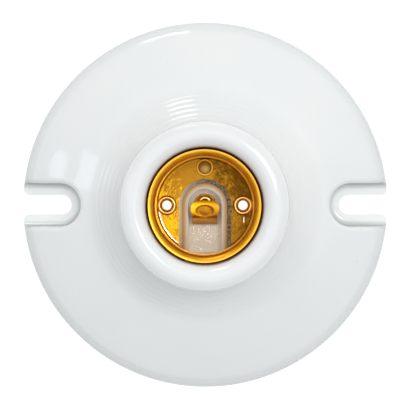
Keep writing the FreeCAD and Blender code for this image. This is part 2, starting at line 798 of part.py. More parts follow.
def make_washer(name, y_text):
    """Square brass washer that clamps the wire under the screw's head."""
    body = new_body(name)
    plan = new_sketch(body, "washer_plan", height="washer_low")
    outline(plan, [
        ("washer_half", "washer_half"),
        ("-washer_half", "washer_half"),
        ("-washer_half", "-washer_half"),
        ("washer_half", "-washer_half"),
    ])
    grown(body, "square", plan, "washer_thick")
    hole = new_sketch(body, "washer_hole_plan", height="washer_top")
    ring(hole, "0", "0", "tapped_r")
    sunk(body, "washer_hole", hole, "washer_thick")
    tie(body, "Placement.Base.y", y_text)
    return body


def make_screw(name, y_text, top):
    """Slotted steel terminal screw, put in from the back."""
    body = new_body(name)
    turned(body, "screw", [
        ("0", "head_low"),
        ("screw_head_r", "head_low"),
        ("screw_head_r", "washer_low"),
        ("screw_r", "washer_low"),
        ("screw_r", top),
        ("0", top),
    ])
    slot = new_sketch(body, "driver_slot_plan", height="head_low")
    outline(slot, [
        ("head_slot_end", "screw_slot_half"),
        ("-head_slot_end", "screw_slot_half"),
        ("-head_slot_end", "-screw_slot_half"),
        ("head_slot_end", "-screw_slot_half"),
    ])
    sunk(body, "driver_slot", slot, "screw_slot_deep", up=True)
    tie(body, "Placement.Base.y", y_text)
    return body


fill_sheet()
make_porcelain()
make_shell()
make_contact()
make_rivet()
make_eyelet("left_eyelet", "-eyelet_x")
make_eyelet("right_eyelet", "eyelet_x")
make_neutral_plate()
make_live_plate()
make_washer("neutral_clamp_washer", "neutral_y")
make_washer("live_clamp_washer", "-live_y")
make_screw("neutral_terminal_screw", "neutral_y", "tip_high")
make_screw("live_terminal_screw", "-live_y", "live_screw_top")

NODES = (
    "porcelain_body",
    "screw_shell",
    "centre_contact",
    "contact_rivet",
    "left_eyelet",
    "right_eyelet",
    "neutral_terminal_plate",
    "live_terminal_plate",
    "neutral_clamp_washer",
    "live_clamp_washer",
    "neutral_terminal_screw",
    "live_terminal_screw",
)


def write_parts():
    """Every object is checked before the first file is written."""
    doc.recompute()
    for item in doc.Objects:
        if "Invalid" in item.State or "Error" in item.State:
            raise RuntimeError(item.Name + " failed: " + str(item.State))
    for node in NODES:
        shape = doc.getObject(node).Shape
        if shape.isNull() or not shape.isValid() or len(shape.Solids) != 1:
            raise RuntimeError(node + " is not one valid solid")
        print(node, round(shape.Volume, 2), shape.BoundBox)
    os.makedirs("parts", exist_ok=True)
    for node in NODES:
        doc.getObject(node).Shape.exportStep(os.path.join("parts", node + ".step"))


write_parts()
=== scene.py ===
import math

import bpy
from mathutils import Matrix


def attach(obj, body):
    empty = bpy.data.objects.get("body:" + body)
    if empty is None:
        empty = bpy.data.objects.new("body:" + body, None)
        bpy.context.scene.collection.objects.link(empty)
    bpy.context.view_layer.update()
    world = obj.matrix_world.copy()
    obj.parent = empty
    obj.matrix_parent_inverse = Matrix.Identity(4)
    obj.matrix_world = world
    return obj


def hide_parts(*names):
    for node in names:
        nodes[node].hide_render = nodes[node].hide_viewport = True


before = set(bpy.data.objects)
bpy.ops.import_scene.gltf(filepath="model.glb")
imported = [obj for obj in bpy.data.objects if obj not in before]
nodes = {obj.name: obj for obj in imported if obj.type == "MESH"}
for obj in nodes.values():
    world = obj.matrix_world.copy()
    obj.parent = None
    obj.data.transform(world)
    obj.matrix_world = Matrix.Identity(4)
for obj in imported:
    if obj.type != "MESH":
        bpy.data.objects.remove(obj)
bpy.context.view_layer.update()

MM = 0.001


# Porcelain body
# One piece of hard white porcelain, pressed in a steel mould from the front and the back, then
# dipped in clear glaze and fired standing on its bare foot. The well and the back stay unglazed.

def linear(code):
    """An sRGB hex colour as linear red, green, blue and alpha."""
    parts = [int(code[first:first + 2], 16) / 255 for first in (1, 3, 5)]
    parts = [part / 12.92 if part <= 0.04045 else ((part + 0.055) / 1.055) ** 2.4 for part in parts]
    return parts + [1.0]


def add_node(tree, kind, inputs, **settings):
    """A node with its settings, and a value or a link for each input, by name or by number."""
    node = tree.nodes.new(kind)
    for name, value in settings.items():
        setattr(node, name, value)
    for place, value in inputs.items():
        if isinstance(value, bpy.types.Node):
            value = value.outputs[0]
        if isinstance(value, bpy.types.NodeSocket):
            tree.links.new(value, node.inputs[place])
        else:
            node.inputs[place].default_value = value
    return node


def start_material(name):
    """An empty material and its tree."""
    material = bpy.data.materials.new(name)
    material.use_nodes = True
    material.node_tree.nodes.clear()
    return material, material.node_tree


# Glazed hard porcelain: a white body under about 0.3 mm of clear glaze, so it shines like glass.
# The bare body is matt and creamy white, and takes on the warm light of the brass beside it.
WELL_R = 14.7 * MM
WELL_TOP = 38.4 * MM
CROWN_MID_R = 17.6 * MM
RIDGE_OUT = 5.65 * MM
RIDGE_TOP = 23.2 * MM
HUB_R = 26.0 * MM
HUB_TOP = 14.6 * MM
FOOT_MID_R = 46.5 * MM
FOOT_DRY = 0.3 * MM
RIM_IN_R = 44.0 * MM
RIM_R = 47.0 * MM
LEDGE_MID_X = 38.6 * MM
LEDGE_HALF = 5.75 * MM
LEDGE_TOP = 4.0 * MM
POOL_IN = 3.9 * MM
POOL_RISE = 0.9 * MM
RING_IN_R = 21.6 * MM
RING_OUT_R = 29.6 * MM
RING_STEP = 1.3 * MM
RING_RISE = 0.026 * MM
RING_WOBBLE = 8.33 * MM
RING_WOBBLE_SIDE = 0.35 * MM
GLAZE_WAVE = 5.0 * MM
GLAZE_WAVE_RISE = 0.06 * MM
CLOUD = 18.2 * MM
PIN_APART = 6.25 * MM
PIN_IN_R = 0.19 * MM
PIN_OUT_R = 0.34 * MM
CRUMB = 0.6 * MM
GRAIN = 0.35 * MM
GRAIN_RISE = 0.03 * MM
# The side of the well that is painted darker, as a direction in X and Y
DARKER_SIDE = (0.91, 0.42)

porcelain, tree = start_material("glazed_hard_porcelain")
place = add_node(tree, "ShaderNodeTexCoord", {})
spot = add_node(tree, "ShaderNodeSeparateXYZ", {0: place.outputs["Object"]})
across = add_node(tree, "ShaderNodeCombineXYZ", {"X": spot.outputs["X"], "Y": spot.outputs["Y"]})
radius = add_node(tree, "ShaderNodeVectorMath", {0: across}, operation="LENGTH").outputs["Value"]
height = spot.outputs["Z"]
facing = add_node(tree, "ShaderNodeNewGeometry", {}).outputs["Normal"]
facing_up = add_node(tree, "ShaderNodeSeparateXYZ", {0: facing}).outputs["Z"]
# from_slot is how far a spot is from the middle line of the nearer ledge and its slot
inward = add_node(tree, "ShaderNodeMath", {0: spot.outputs["X"]}, operation="ABSOLUTE")
inward = add_node(tree, "ShaderNodeMath", {0: LEDGE_MID_X, 1: inward}, operation="SUBTRACT")
inward = add_node(tree, "ShaderNodeMath", {0: inward, 1: 0.0}, operation="MAXIMUM")
from_slot = add_node(tree, "ShaderNodeCombineXYZ", {"X": inward, "Y": spot.outputs["Y"]})
from_slot = add_node(tree, "ShaderNodeVectorMath", {0: from_slot}, operation="LENGTH").outputs["Value"]
# Bare are the well, the hub's back, the hollow's roof and sides, and the foot
bare = 0.0
for limits in (
    ((radius, "LESS_THAN", WELL_R), (height, "LESS_THAN", WELL_TOP)),
    ((radius, "LESS_THAN", HUB_R), (height, "LESS_THAN", HUB_TOP)),
    (
        (facing_up, "LESS_THAN", 0.3), (height, "LESS_THAN", HUB_TOP), (radius, "LESS_THAN", FOOT_MID_R),
        (from_slot, "GREATER_THAN", LEDGE_HALF + 0.4 * MM),
    ),
    ((height, "LESS_THAN", FOOT_DRY), (radius, "GREATER_THAN", HUB_R)),
):
    place_bare = 1.0
    for value, how, limit in limits:
        test = add_node(tree, "ShaderNodeMath", {0: value, 1: limit}, operation=how)
        place_bare = add_node(tree, "ShaderNodeMath", {0: place_bare, 1: test}, operation="MULTIPLY")
    bare = add_node(tree, "ShaderNodeMath", {0: bare, 1: place_bare}, operation="MAXIMUM")

# The fired body shows a faint cloudiness through the glaze, and a few pinholes of iron
cloud = add_node(
    tree, "ShaderNodeTexNoise", {"Vector": place.outputs["Object"], "Scale": 1.0 / CLOUD, "Detail": 2.0},
)
glazed_colour = add_node(
    tree, "ShaderNodeMix",
    {0: cloud.outputs["Fac"], 6: linear("#F4F4F1"), 7: linear("#ECEEEE")},
    data_type="RGBA",
).outputs[2]
pins = add_node(
    tree, "ShaderNodeTexVoronoi", {"Vector": place.outputs["Object"], "Scale": 1.0 / PIN_APART},
)
pin = add_node(
    tree, "ShaderNodeMapRange",
    {0: pins.outputs["Distance"], 1: PIN_IN_R / PIN_APART, 2: PIN_OUT_R / PIN_APART, 3: 0.12, 4: 0.0},
)
glazed_colour = add_node(
    tree, "ShaderNodeMix", {0: pin, 6: glazed_colour, 7: linear("#B9A88C")}, data_type="RGBA",
).outputs[2]
# The inner round of the collar is painted pure white: a painted light on the round, which falls into shade
# as it turns down into the well
at_crown = add_node(tree, "ShaderNodeMapRange", {0: radius, 1: CROWN_MID_R, 2: WELL_R})
up_crown = add_node(tree, "ShaderNodeMapRange", {0: height, 1: WELL_TOP, 2: WELL_TOP + MM})
painted_crown_light = add_node(tree, "ShaderNodeMath", {0: at_crown, 1: up_crown}, operation="MULTIPLY")
glazed_colour = add_node(
    tree, "ShaderNodeMix", {0: painted_crown_light, 6: glazed_colour, 7: linear("#FFFFFF")}, data_type="RGBA",
).outputs[2]
# The steep rim edge is painted greyer: a painted shade on the edge as it turns down
steep = add_node(tree, "ShaderNodeMapRange", {0: facing_up, 1: 0.95, 2: 0.35})
near_rim = add_node(tree, "ShaderNodeMapRange", {0: radius, 1: RIM_IN_R, 2: RIM_R})
painted_rim_shade = add_node(tree, "ShaderNodeMath", {0: steep, 1: near_rim}, operation="MULTIPLY")
glazed_colour = add_node(
    tree, "ShaderNodeMix", {0: painted_rim_shade, 6: glazed_colour, 7: linear("#D4D9DA")}, data_type="RGBA",
).outputs[2]
# Glaze ran down into the corners of the two ledges: it is thicker there, curved and a little green
pool = add_node(tree, "ShaderNodeMapRange", {0: from_slot, 1: POOL_IN, 2: LEDGE_HALF})
pool = add_node(tree, "ShaderNodeMath", {0: pool, 1: 2.0}, operation="POWER")
for value, limit, how in (
    (height, LEDGE_TOP + 0.3 * MM, "LESS_THAN"),
    (facing_up, 0.7, "GREATER_THAN"),
    (radius, WELL_R, "GREATER_THAN"),
):
    test = add_node(tree, "ShaderNodeMath", {0: value, 1: limit}, operation=how)
    pool = add_node(tree, "ShaderNodeMath", {0: pool, 1: test}, operation="MULTIPLY")
green = add_node(tree, "ShaderNodeMath", {0: pool, 1: 0.8}, operation="MULTIPLY")
glazed_colour = add_node(
    tree, "ShaderNodeMix", {0: green, 6: glazed_colour, 7: linear("#C9D3CF")}, data_type="RGBA",
).outputs[2]
grain = add_node(
    tree, "ShaderNodeTexNoise",
    {"Vector": place.outputs["Object"], "Scale": 1.0 / GRAIN, "Detail": 3.0, "Roughness": 0.65},
)
bare_colour = add_node(
    tree, "ShaderNodeMix",
    {0: grain.outputs["Fac"], 6: linear("#F0E8D6"), 7: linear("#FFFDF4")},
    data_type="RGBA",
).outputs[2]
# The ridge stands in the brass floor's cut-out. Its outer side is painted brass-coloured towards the top, a
# painted reflection of the brass beside it.
# past_arch is how far a spot is from the U's own middle, a line from the well's axis towards -Y.
past_arch = add_node(tree, "ShaderNodeMath", {0: spot.outputs["Y"], 1: 0.0}, operation="MAXIMUM")
past_arch = add_node(tree, "ShaderNodeCombineXYZ", {"X": spot.outputs["X"], "Y": past_arch})
past_arch = add_node(tree, "ShaderNodeVectorMath", {0: past_arch}, operation="LENGTH").outputs["Value"]
outer_side = add_node(
    tree, "ShaderNodeMapRange",
    {0: past_arch, 1: RIDGE_OUT - 1.1 * MM, 2: RIDGE_OUT - 0.2 * MM, 3: 0.15, 4: 0.95},
)
painted_brass_reflection = add_node(tree, "ShaderNodeMapRange", {0: height, 1: RIDGE_TOP - 2.0 * MM, 2: RIDGE_TOP})
painted_brass_reflection = add_node(tree, "ShaderNodeMath", {0: painted_brass_reflection, 1: outer_side}, operation="MULTIPLY")
bare_colour = add_node(
    tree, "ShaderNodeMix", {0: painted_brass_reflection, 6: bare_colour, 7: linear("#CBA052")}, data_type="RGBA",
).outputs[2]
# The groove between the ridge and the brass is painted pale yellow towards -X and -Y, a painted reflection
# of the bright brass there, and dark brown towards +X and +Y, a painted shade in the gap. A crumbly pattern
# breaks it up.
groove = add_node(
    tree, "ShaderNodeMapRange", {0: past_arch, 1: RIDGE_OUT - 0.1 * MM, 2: RIDGE_OUT + 0.1 * MM},
)
painted_shade_side = add_node(
    tree, "ShaderNodeVectorMath", {0: across, 1: (*DARKER_SIDE, 0.0)}, operation="DOT_PRODUCT",
).outputs["Value"]
painted_shade_side = add_node(tree, "ShaderNodeMapRange", {0: painted_shade_side, 1: -6.0 * MM, 2: 3.0 * MM})
groove_reflection_and_shade = add_node(
    tree, "ShaderNodeMix", {0: painted_shade_side, 6: linear("#FFF0C0"), 7: linear("#6C5520")}, data_type="RGBA",
).outputs[2]
low_in_well = add_node(tree, "ShaderNodeMath", {0: height, 1: RIDGE_TOP - 0.6 * MM}, operation="LESS_THAN")
groove = add_node(tree, "ShaderNodeMath", {0: groove, 1: low_in_well}, operation="MULTIPLY")
in_well = add_node(tree, "ShaderNodeMath", {0: height, 1: HUB_TOP}, operation="GREATER_THAN")
groove = add_node(tree, "ShaderNodeMath", {0: groove, 1: in_well}, operation="MULTIPLY")
crumbs = add_node(
    tree, "ShaderNodeTexNoise",
    {"Vector": place.outputs["Object"], "Scale": 1.0 / CRUMB, "Detail": 3.0, "Roughness": 0.7},
)
crumbly = add_node(tree, "ShaderNodeMapRange", {0: crumbs.outputs["Fac"], 1: 0.42, 2: 0.58, 3: 0.6, 4: 1.0})
groove = add_node(tree, "ShaderNodeMath", {0: groove, 1: crumbly}, operation="MULTIPLY")
bare_colour = add_node(
    tree, "ShaderNodeMix", {0: groove, 6: bare_colour, 7: groove_reflection_and_shade}, data_type="RGBA",
).outputs[2]
colour = add_node(
    tree, "ShaderNodeMix", {0: bare, 6: glazed_colour, 7: bare_colour}, data_type="RGBA",
).outputs[2]
roughness = add_node(tree, "ShaderNodeMapRange", {0: bare, 3: 0.06, 4: 0.72})

# The plunger left fine rings round the foot of the collar, which the glaze has softened
wobble = add_node(
    tree, "ShaderNodeTexNoise",
    {"Vector": place.outputs["Object"], "Scale": 1.0 / RING_WOBBLE, "Detail": 1.0},
)
turned = add_node(
    tree, "ShaderNodeMath", {0: wobble.outputs["Fac"], 1: RING_WOBBLE_SIDE, 2: radius},
    operation="MULTIPLY_ADD",
)
turned = add_node(tree, "ShaderNodeMath", {0: turned, 1: 2 * math.pi / RING_STEP}, operation="MULTIPLY")
turned = add_node(tree, "ShaderNodeMath", {0: turned}, operation="SINE")
ring_start = add_node(
    tree, "ShaderNodeMapRange", {0: radius, 1: RING_IN_R, 2: RING_IN_R + MM},
    interpolation_type="SMOOTHSTEP",
)
ring_end = add_node(
    tree, "ShaderNodeMapRange", {0: radius, 1: RING_OUT_R, 2: RING_OUT_R - MM},
    interpolation_type="SMOOTHSTEP",
)
rings = add_node(tree, "ShaderNodeMath", {0: turned, 1: ring_start}, operation="MULTIPLY")
rings = add_node(tree, "ShaderNodeMath", {0: rings, 1: ring_end}, operation="MULTIPLY")
ring_bump = add_node(tree, "ShaderNodeBump", {"Height": rings, "Distance": RING_RISE})
wave = add_node(
    tree, "ShaderNodeTexNoise",
    {"Vector": place.outputs["Object"], "Scale": 1.0 / GLAZE_WAVE, "Detail": 1.0},
)
wave_bump = add_node(
    tree, "ShaderNodeBump",
    {"Height": wave.outputs["Fac"], "Distance": GLAZE_WAVE_RISE, "Normal": ring_bump},
)
pool_bump = add_node(
    tree, "ShaderNodeBump", {"Height": pool, "Distance": POOL_RISE, "Normal": wave_bump},
)
grain_bump = add_node(tree, "ShaderNodeBump", {"Height": grain.outputs["Fac"], "Distance": GRAIN_RISE})
surface = add_node(
    tree, "ShaderNodeMix", {0: bare, 4: pool_bump, 5: grain_bump}, data_type="VECTOR",
).outputs[1]
shader = add_node(
    tree, "ShaderNodeBsdfPrincipled",
    {"Base Color": colour, "Roughness": roughness, "IOR": 1.5, "Normal": surface},
)
add_node(tree, "ShaderNodeOutputMaterial", {"Surface": shader})
nodes["porcelain_body"].material_slots[0].material = porcelain


# Specks of glaze in the contact pocket
# Glaze that splashed on the bare floor of the pocket before firing, and set as flat white drops
# and short runs. Their places follow a rule, so Geometry Nodes scatter them.

POCKET_FLOOR = 19.0 * MM
SPLASH_HALF_X = 3.9 * MM
SPLASH_LOW_Y = -12.0 * MM
SPLASH_HIGH_Y = -5.4 * MM
SPECK_R = 0.21 * MM
SPECK_FLAT = 0.3
SPECKS_PER_M2 = 1100000.0
MILK = 0.4 * MM
# The least and the most length, width and height of a drop, as shares, and its least and most turn
SPECK_LEAST = (0.5, 0.3, 0.4)
SPECK_MOST = (2.4, 0.95, 0.9)
SPECK_TURN = (0.4, 2.6)

# Thick milky glaze, set glossy. Its real IOR is 1.5: it is set higher here, because the sharp
# curves that make a real drop glint are finer than the render shows.
splash, tree = start_material("set_glaze_drops")
place = add_node(tree, "ShaderNodeTexCoord", {})
milk = add_node(tree, "ShaderNodeTexNoise", {"Vector": place.outputs["Object"], "Scale": 1.0 / MILK})
colour = add_node(
    tree, "ShaderNodeMix", {0: milk.outputs["Fac"], 6: linear("#FFFFFF"), 7: linear("#EFEDE8")},
    data_type="RGBA",
).outputs[2]
shader = add_node(
    tree, "ShaderNodeBsdfPrincipled",
    {
        "Base Color": colour, "Roughness": 0.15, "IOR": 2.0, "Specular IOR Level": 0.9,
        "Coat Weight": 1.0, "Coat IOR": 2.0, "Coat Roughness": 0.1,
    },
)
add_node(tree, "ShaderNodeOutputMaterial", {"Surface": shader})


def start_rule(name, inputs):
    """An empty Geometry Nodes tree with a mesh in, a mesh out and the named inputs."""
    rule = bpy.data.node_groups.new(name, "GeometryNodeTree")
    rule.interface.new_socket("Geometry", in_out="INPUT", socket_type="NodeSocketGeometry")
    rule.interface.new_socket("Geometry", in_out="OUTPUT", socket_type="NodeSocketGeometry")
    for title, kind in inputs:
        rule.interface.new_socket(title, in_out="INPUT", socket_type="NodeSocket" + kind)
    return rule, rule.nodes.new("NodeGroupInput").outputs


def follow_rule(name, mesh, rule, values):
    """A new piece whose mesh is what the rule makes of a mesh with these values."""
    seed = bpy.data.objects.new(name + "_start", mesh)
    bpy.context.scene.collection.objects.link(seed)
    modifier = seed.modifiers.new("rule", "NODES")
    modifier.node_group = rule
    for item in rule.interface.items_tree:
        if item.in_out == "INPUT" and item.name in values:
            modifier[item.identifier] = values[item.name]
    ready = seed.evaluated_get(bpy.context.evaluated_depsgraph_get())
    made = bpy.data.meshes.new_from_object(ready)
    seed.modifiers.remove(modifier)
    bpy.data.objects.remove(seed)
    piece = bpy.data.objects.new(name, made)
    bpy.context.scene.collection.objects.link(piece)
    return piece


rule, given = start_rule("scattered_drops", [
    ("Density", "Float"), ("Drop Radius", "Float"), ("Material", "Material"),
])
points = add_node(
    rule, "GeometryNodeDistributePointsOnFaces",
    {"Mesh": given["Geometry"], "Density": given["Density"], "Seed": 7},
)
drop = add_node(
    rule, "GeometryNodeMeshIcoSphere", {"Radius": given["Drop Radius"], "Subdivisions": 2},
)
flat = add_node(rule, "GeometryNodeTransform", {"Geometry": drop, "Scale": (1.0, 1.0, SPECK_FLAT)})
size = add_node(
    rule, "FunctionNodeRandomValue", {0: SPECK_LEAST, 1: SPECK_MOST, "Seed": 3},
    data_type="FLOAT_VECTOR",
)
turn = add_node(
    rule, "FunctionNodeRandomValue",
    {0: (0.0, 0.0, SPECK_TURN[0]), 1: (0.0, 0.0, SPECK_TURN[1]), "Seed": 5},
    data_type="FLOAT_VECTOR",
)
drops = add_node(
    rule, "GeometryNodeInstanceOnPoints",
    {"Points": points, "Instance": flat, "Rotation": turn.outputs[0], "Scale": size.outputs[0]},
)
real = add_node(rule, "GeometryNodeRealizeInstances", {0: drops})
smooth = add_node(rule, "GeometryNodeSetShadeSmooth", {"Geometry": real})
coated = add_node(rule, "GeometryNodeSetMaterial", {"Geometry": smooth, "Material": given["Material"]})
add_node(rule, "NodeGroupOutput", {0: coated})

pocket = bpy.data.meshes.new("pocket_floor")
pocket.from_pydata(
    [
        (-SPLASH_HALF_X, SPLASH_LOW_Y, POCKET_FLOOR),
        (SPLASH_HALF_X, SPLASH_LOW_Y, POCKET_FLOOR),
        (SPLASH_HALF_X, SPLASH_HIGH_Y, POCKET_FLOOR),
        (-SPLASH_HALF_X, SPLASH_HIGH_Y, POCKET_FLOOR),
    ],
    [],
    [(0, 1, 2, 3)],
)
specks = follow_rule(
    "pocket_glaze_specks", pocket, rule,
    {"Density": SPECKS_PER_M2, "Drop Radius": SPECK_R, "Material": splash},
)
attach(specks, "root")


# Brass screw shell
# One cup of thin brass, drawn through a die, its round E27 thread rolled in and its floor
# punched. It stands in the well on its floor and touches the porcelain nowhere else.

SHEET_SCRATCH = 0.30 * MM
SCRATCH_RISE = 0.014 * MM
STROKES_ROUND = 7.0
FILM_PATCH = 2.38 * MM
FLOOR_R = 12.6 * MM
FLOOR_FACE = 21.35 * MM
FLOOR_HIGH = 22.6 * MM
SKIRT_TOP = 25.6 * MM
LIP_R = 13.7 * MM
COLLAR_Y = 9.8 * MM
COLLAR_R = 2.12 * MM
LINE_IN_R = 11.75 * MM
LINE_OUT_R = 12.1 * MM
LINE_SOFT = 0.08 * MM
GLINT_MID = (10.05 * MM, -3.75 * MM)
GLINT_SIZE = (0.26 * MM, 1.9 * MM)

# Drawn brass sheet: yellow and smooth enough to mirror the room softly, with fine scratches that
# run round the axis.
brass, tree = start_material("drawn_brass_sheet")
place = add_node(tree, "ShaderNodeTexCoord", {})
spot = add_node(tree, "ShaderNodeSeparateXYZ", {0: place.outputs["Object"]})
across = add_node(tree, "ShaderNodeCombineXYZ", {"X": spot.outputs["X"], "Y": spot.outputs["Y"]})
radius = add_node(tree, "ShaderNodeVectorMath", {0: across}, operation="LENGTH").outputs["Value"]
turn = add_node(tree, "ShaderNodeMath", {0: spot.outputs["Y"], 1: spot.outputs["X"]}, operation="ARCTAN2")
# The strokes come from the die and from lamps. The real ones are under 0.1 mm wide, and are drawn
# 0.3 mm wide so that they show.
lane = add_node(tree, "ShaderNodeMath", {0: radius, 1: 1.0 / SHEET_SCRATCH}, operation="MULTIPLY")
along = add_node(tree, "ShaderNodeMath", {0: turn, 1: STROKES_ROUND}, operation="MULTIPLY")
rise = add_node(
    tree, "ShaderNodeMath", {0: spot.outputs["Z"], 1: 1.0 / SHEET_SCRATCH}, operation="MULTIPLY",
)
drawn = add_node(tree, "ShaderNodeCombineXYZ", {"X": lane, "Y": along, "Z": rise})
scratch = add_node(
    tree, "ShaderNodeTexNoise", {"Vector": drawn, "Scale": 1.0, "Detail": 4.0, "Roughness": 0.7},
)
patch = add_node(
    tree, "ShaderNodeTexNoise",
    {"Vector": place.outputs["Object"], "Scale": 1.0 / FILM_PATCH, "Detail": 4.0, "Roughness": 0.65},
)
# The floor is painted dark brown towards +X and +Y and bright yellow on the other side: a painted
# reflection of the dark wall and the bright room that it mirrors.
# Blotches and the strokes break it up.
lean = add_node(
    tree, "ShaderNodeVectorMath",
    {0: across, 1: (-DARKER_SIDE[0] / FLOOR_R, -DARKER_SIDE[1] / FLOOR_R, 0.0)},
    operation="DOT_PRODUCT",
).outputs["Value"]
blot = add_node(tree, "ShaderNodeMapRange", {0: patch.outputs["Fac"], 1: 0.3, 2: 0.7, 3: -0.3, 4: 0.3})
rub = add_node(tree, "ShaderNodeMapRange", {0: scratch.outputs["Fac"], 1: 0.3, 2: 0.7, 3: -0.5, 4: 0.5})
bright_reflection_and_wear = add_node(tree, "ShaderNodeMath", {0: lean, 1: blot}, operation="ADD")
bright_reflection_and_wear = add_node(tree, "ShaderNodeMath", {0: bright_reflection_and_wear, 1: rub}, operation="ADD")
dark_reflection_and_film = add_node(
    tree, "ShaderNodeMapRange", {0: bright_reflection_and_wear, 1: -0.9, 2: -0.1}, interpolation_type="SMOOTHSTEP",
)
bright_reflection_and_wear = add_node(
    tree, "ShaderNodeMapRange", {0: bright_reflection_and_wear, 1: 0.3, 2: 1.0}, interpolation_type="SMOOTHSTEP",
)
floor_colour = add_node(
    tree, "ShaderNodeMix", {0: dark_reflection_and_film, 6: linear("#5A380A"), 7: linear("#96671A")}, data_type="RGBA",
).outputs[2]
floor_colour = add_node(
    tree, "ShaderNodeMix", {0: bright_reflection_and_wear, 6: floor_colour, 7: linear("#E0A81A")}, data_type="RGBA",
).outputs[2]
# The wall is redder, as annealed brass is after drawing, and the lip is rubbed bright by lamps
tone = add_node(tree, "ShaderNodeMapRange", {0: scratch.outputs["Fac"], 1: 0.35, 2: 0.65})
wall_colour = add_node(
    tree, "ShaderNodeMix", {0: tone, 6: linear("#EA9C18"), 7: linear("#FFBC3A")}, data_type="RGBA",
).outputs[2]
on_lip = add_node(
    tree, "ShaderNodeMapRange", {0: radius, 1: LIP_R - 0.1 * MM, 2: LIP_R + 0.1 * MM},
    interpolation_type="SMOOTHSTEP",
)
wall_colour = add_node(
    tree, "ShaderNodeMix", {0: on_lip, 6: wall_colour, 7: linear("#E6AE42")}, data_type="RGBA",
).outputs[2]
# Below the thread the skirt is paler
skirt = add_node(
    tree, "ShaderNodeMapRange", {0: spot.outputs["Z"], 1: SKIRT_TOP + MM, 2: SKIRT_TOP},
    interpolation_type="SMOOTHSTEP",
)
wall_colour = add_node(
    tree, "ShaderNodeMix", {0: skirt, 6: wall_colour, 7: linear("#F4C456")}, data_type="RGBA",
).outputs[2]
up_wall = add_node(
    tree, "ShaderNodeMapRange",
    {0: spot.outputs["Z"], 1: FLOOR_FACE + 0.02 * MM, 2: FLOOR_FACE + 0.3 * MM},
    interpolation_type="SMOOTHSTEP",
)
colour = add_node(
    tree, "ShaderNodeMix", {0: up_wall, 6: floor_colour, 7: wall_colour}, data_type="RGBA",
).outputs[2]
roughness = add_node(tree, "ShaderNodeMapRange", {0: up_wall, 3: 0.26, 4: 0.36})
fine = add_node(tree, "ShaderNodeBump", {"Height": scratch.outputs["Fac"], "Distance": SCRATCH_RISE})
# The tapped collar stands up round the end of the neutral screw: its rim is rubbed, its foot brown
from_screw = add_node(
    tree, "ShaderNodeVectorMath", {0: across, 1: (0.0, COLLAR_Y, 0.0)}, operation="DISTANCE",
).outputs["Value"]
foot = add_node(
    tree, "ShaderNodeMapRange", {0: from_screw, 1: COLLAR_R + 0.3 * MM, 2: COLLAR_R, 3: 0.0, 4: 0.8},
    interpolation_type="SMOOTHSTEP",
)
colour = add_node(
    tree, "ShaderNodeMix", {0: foot, 6: colour, 7: linear("#6E430D")}, data_type="RGBA",
).outputs[2]
rim = add_node(
    tree, "ShaderNodeMapRange", {0: from_screw, 1: COLLAR_R, 2: COLLAR_R - 0.06 * MM},
    interpolation_type="SMOOTHSTEP",
)
colour = add_node(
    tree, "ShaderNodeMix", {0: rim, 6: colour, 7: linear("#C08B2E")}, data_type="RGBA",
).outputs[2]
# A thin pale line is painted where the floor turns up, on the bright side: a painted highlight, the glint
# of a light in that corner
line_in = add_node(tree, "ShaderNodeMapRange", {0: radius, 1: LINE_IN_R, 2: LINE_IN_R + LINE_SOFT})
line_out = add_node(tree, "ShaderNodeMapRange", {0: radius, 1: LINE_OUT_R, 2: LINE_OUT_R - LINE_SOFT})
line_side = add_node(
    tree, "ShaderNodeMapRange", {0: lean, 1: 0.8, 2: 0.87}, interpolation_type="SMOOTHSTEP",
)
painted_corner_highlight = add_node(tree, "ShaderNodeMath", {0: line_in, 1: line_out}, operation="MULTIPLY")
painted_corner_highlight = add_node(tree, "ShaderNodeMath", {0: painted_corner_highlight, 1: line_side}, operation="MULTIPLY")
low_down = add_node(
    tree, "ShaderNodeMath", {0: spot.outputs["Z"], 1: FLOOR_HIGH}, operation="LESS_THAN",
)
painted_corner_highlight = add_node(tree, "ShaderNodeMath", {0: painted_corner_highlight, 1: low_down}, operation="MULTIPLY")
colour = add_node(
    tree, "ShaderNodeMix", {0: painted_corner_highlight, 6: colour, 7: linear("#FFFAEC")}, data_type="RGBA",
).outputs[2]
# A short pale mark is painted on the floor below the right eyelet: a painted glint
painted_glint = add_node(
    tree, "ShaderNodeVectorMath",
    {
        0: across, 1: (2 / GLINT_SIZE[0], 2 / GLINT_SIZE[1], 0.0),
        2: (-2 * GLINT_MID[0] / GLINT_SIZE[0], -2 * GLINT_MID[1] / GLINT_SIZE[1], 0.0),
    },
    operation="MULTIPLY_ADD",
)
painted_glint = add_node(tree, "ShaderNodeVectorMath", {0: painted_glint}, operation="LENGTH").outputs["Value"]
painted_glint = add_node(tree, "ShaderNodeMapRange", {0: painted_glint, 1: 1.0, 2: 0.7}, interpolation_type="SMOOTHSTEP")
painted_glint = add_node(tree, "ShaderNodeMath", {0: painted_glint, 1: low_down}, operation="MULTIPLY")
colour = add_node(
    tree, "ShaderNodeMix", {0: painted_glint, 6: colour, 7: linear("#FFFAEC")}, data_type="RGBA",
).outputs[2]
shader = add_node(
    tree, "ShaderNodeBsdfPrincipled",
    {"Base Color": colour, "Metallic": 1.0, "Roughness": roughness, "Normal": fine},
)
add_node(tree, "ShaderNodeOutputMaterial", {"Surface": shader})
nodes["screw_shell"].material_slots[0].material = brass


# Two tubular eyelets
# Brass tube pushed through the shell's floor, the porcelain and the back plate, and rolled
# over at both ends. The hole stays open, so the ground shows through it.

EYELET_X = 9.85 * MM
EYELET_BORE = 1.2 * MM
EYELET_TUBE = 1.55 * MM
EYELET_HEAD = 2.55 * MM
EYELET_TOP = 22.05 * MM
EYELET_BACK = 13.5 * MM
EYELET_FRONT = FLOOR_FACE
EYELET_STEPS = 96
TUBE_TARNISH = 1.11 * MM


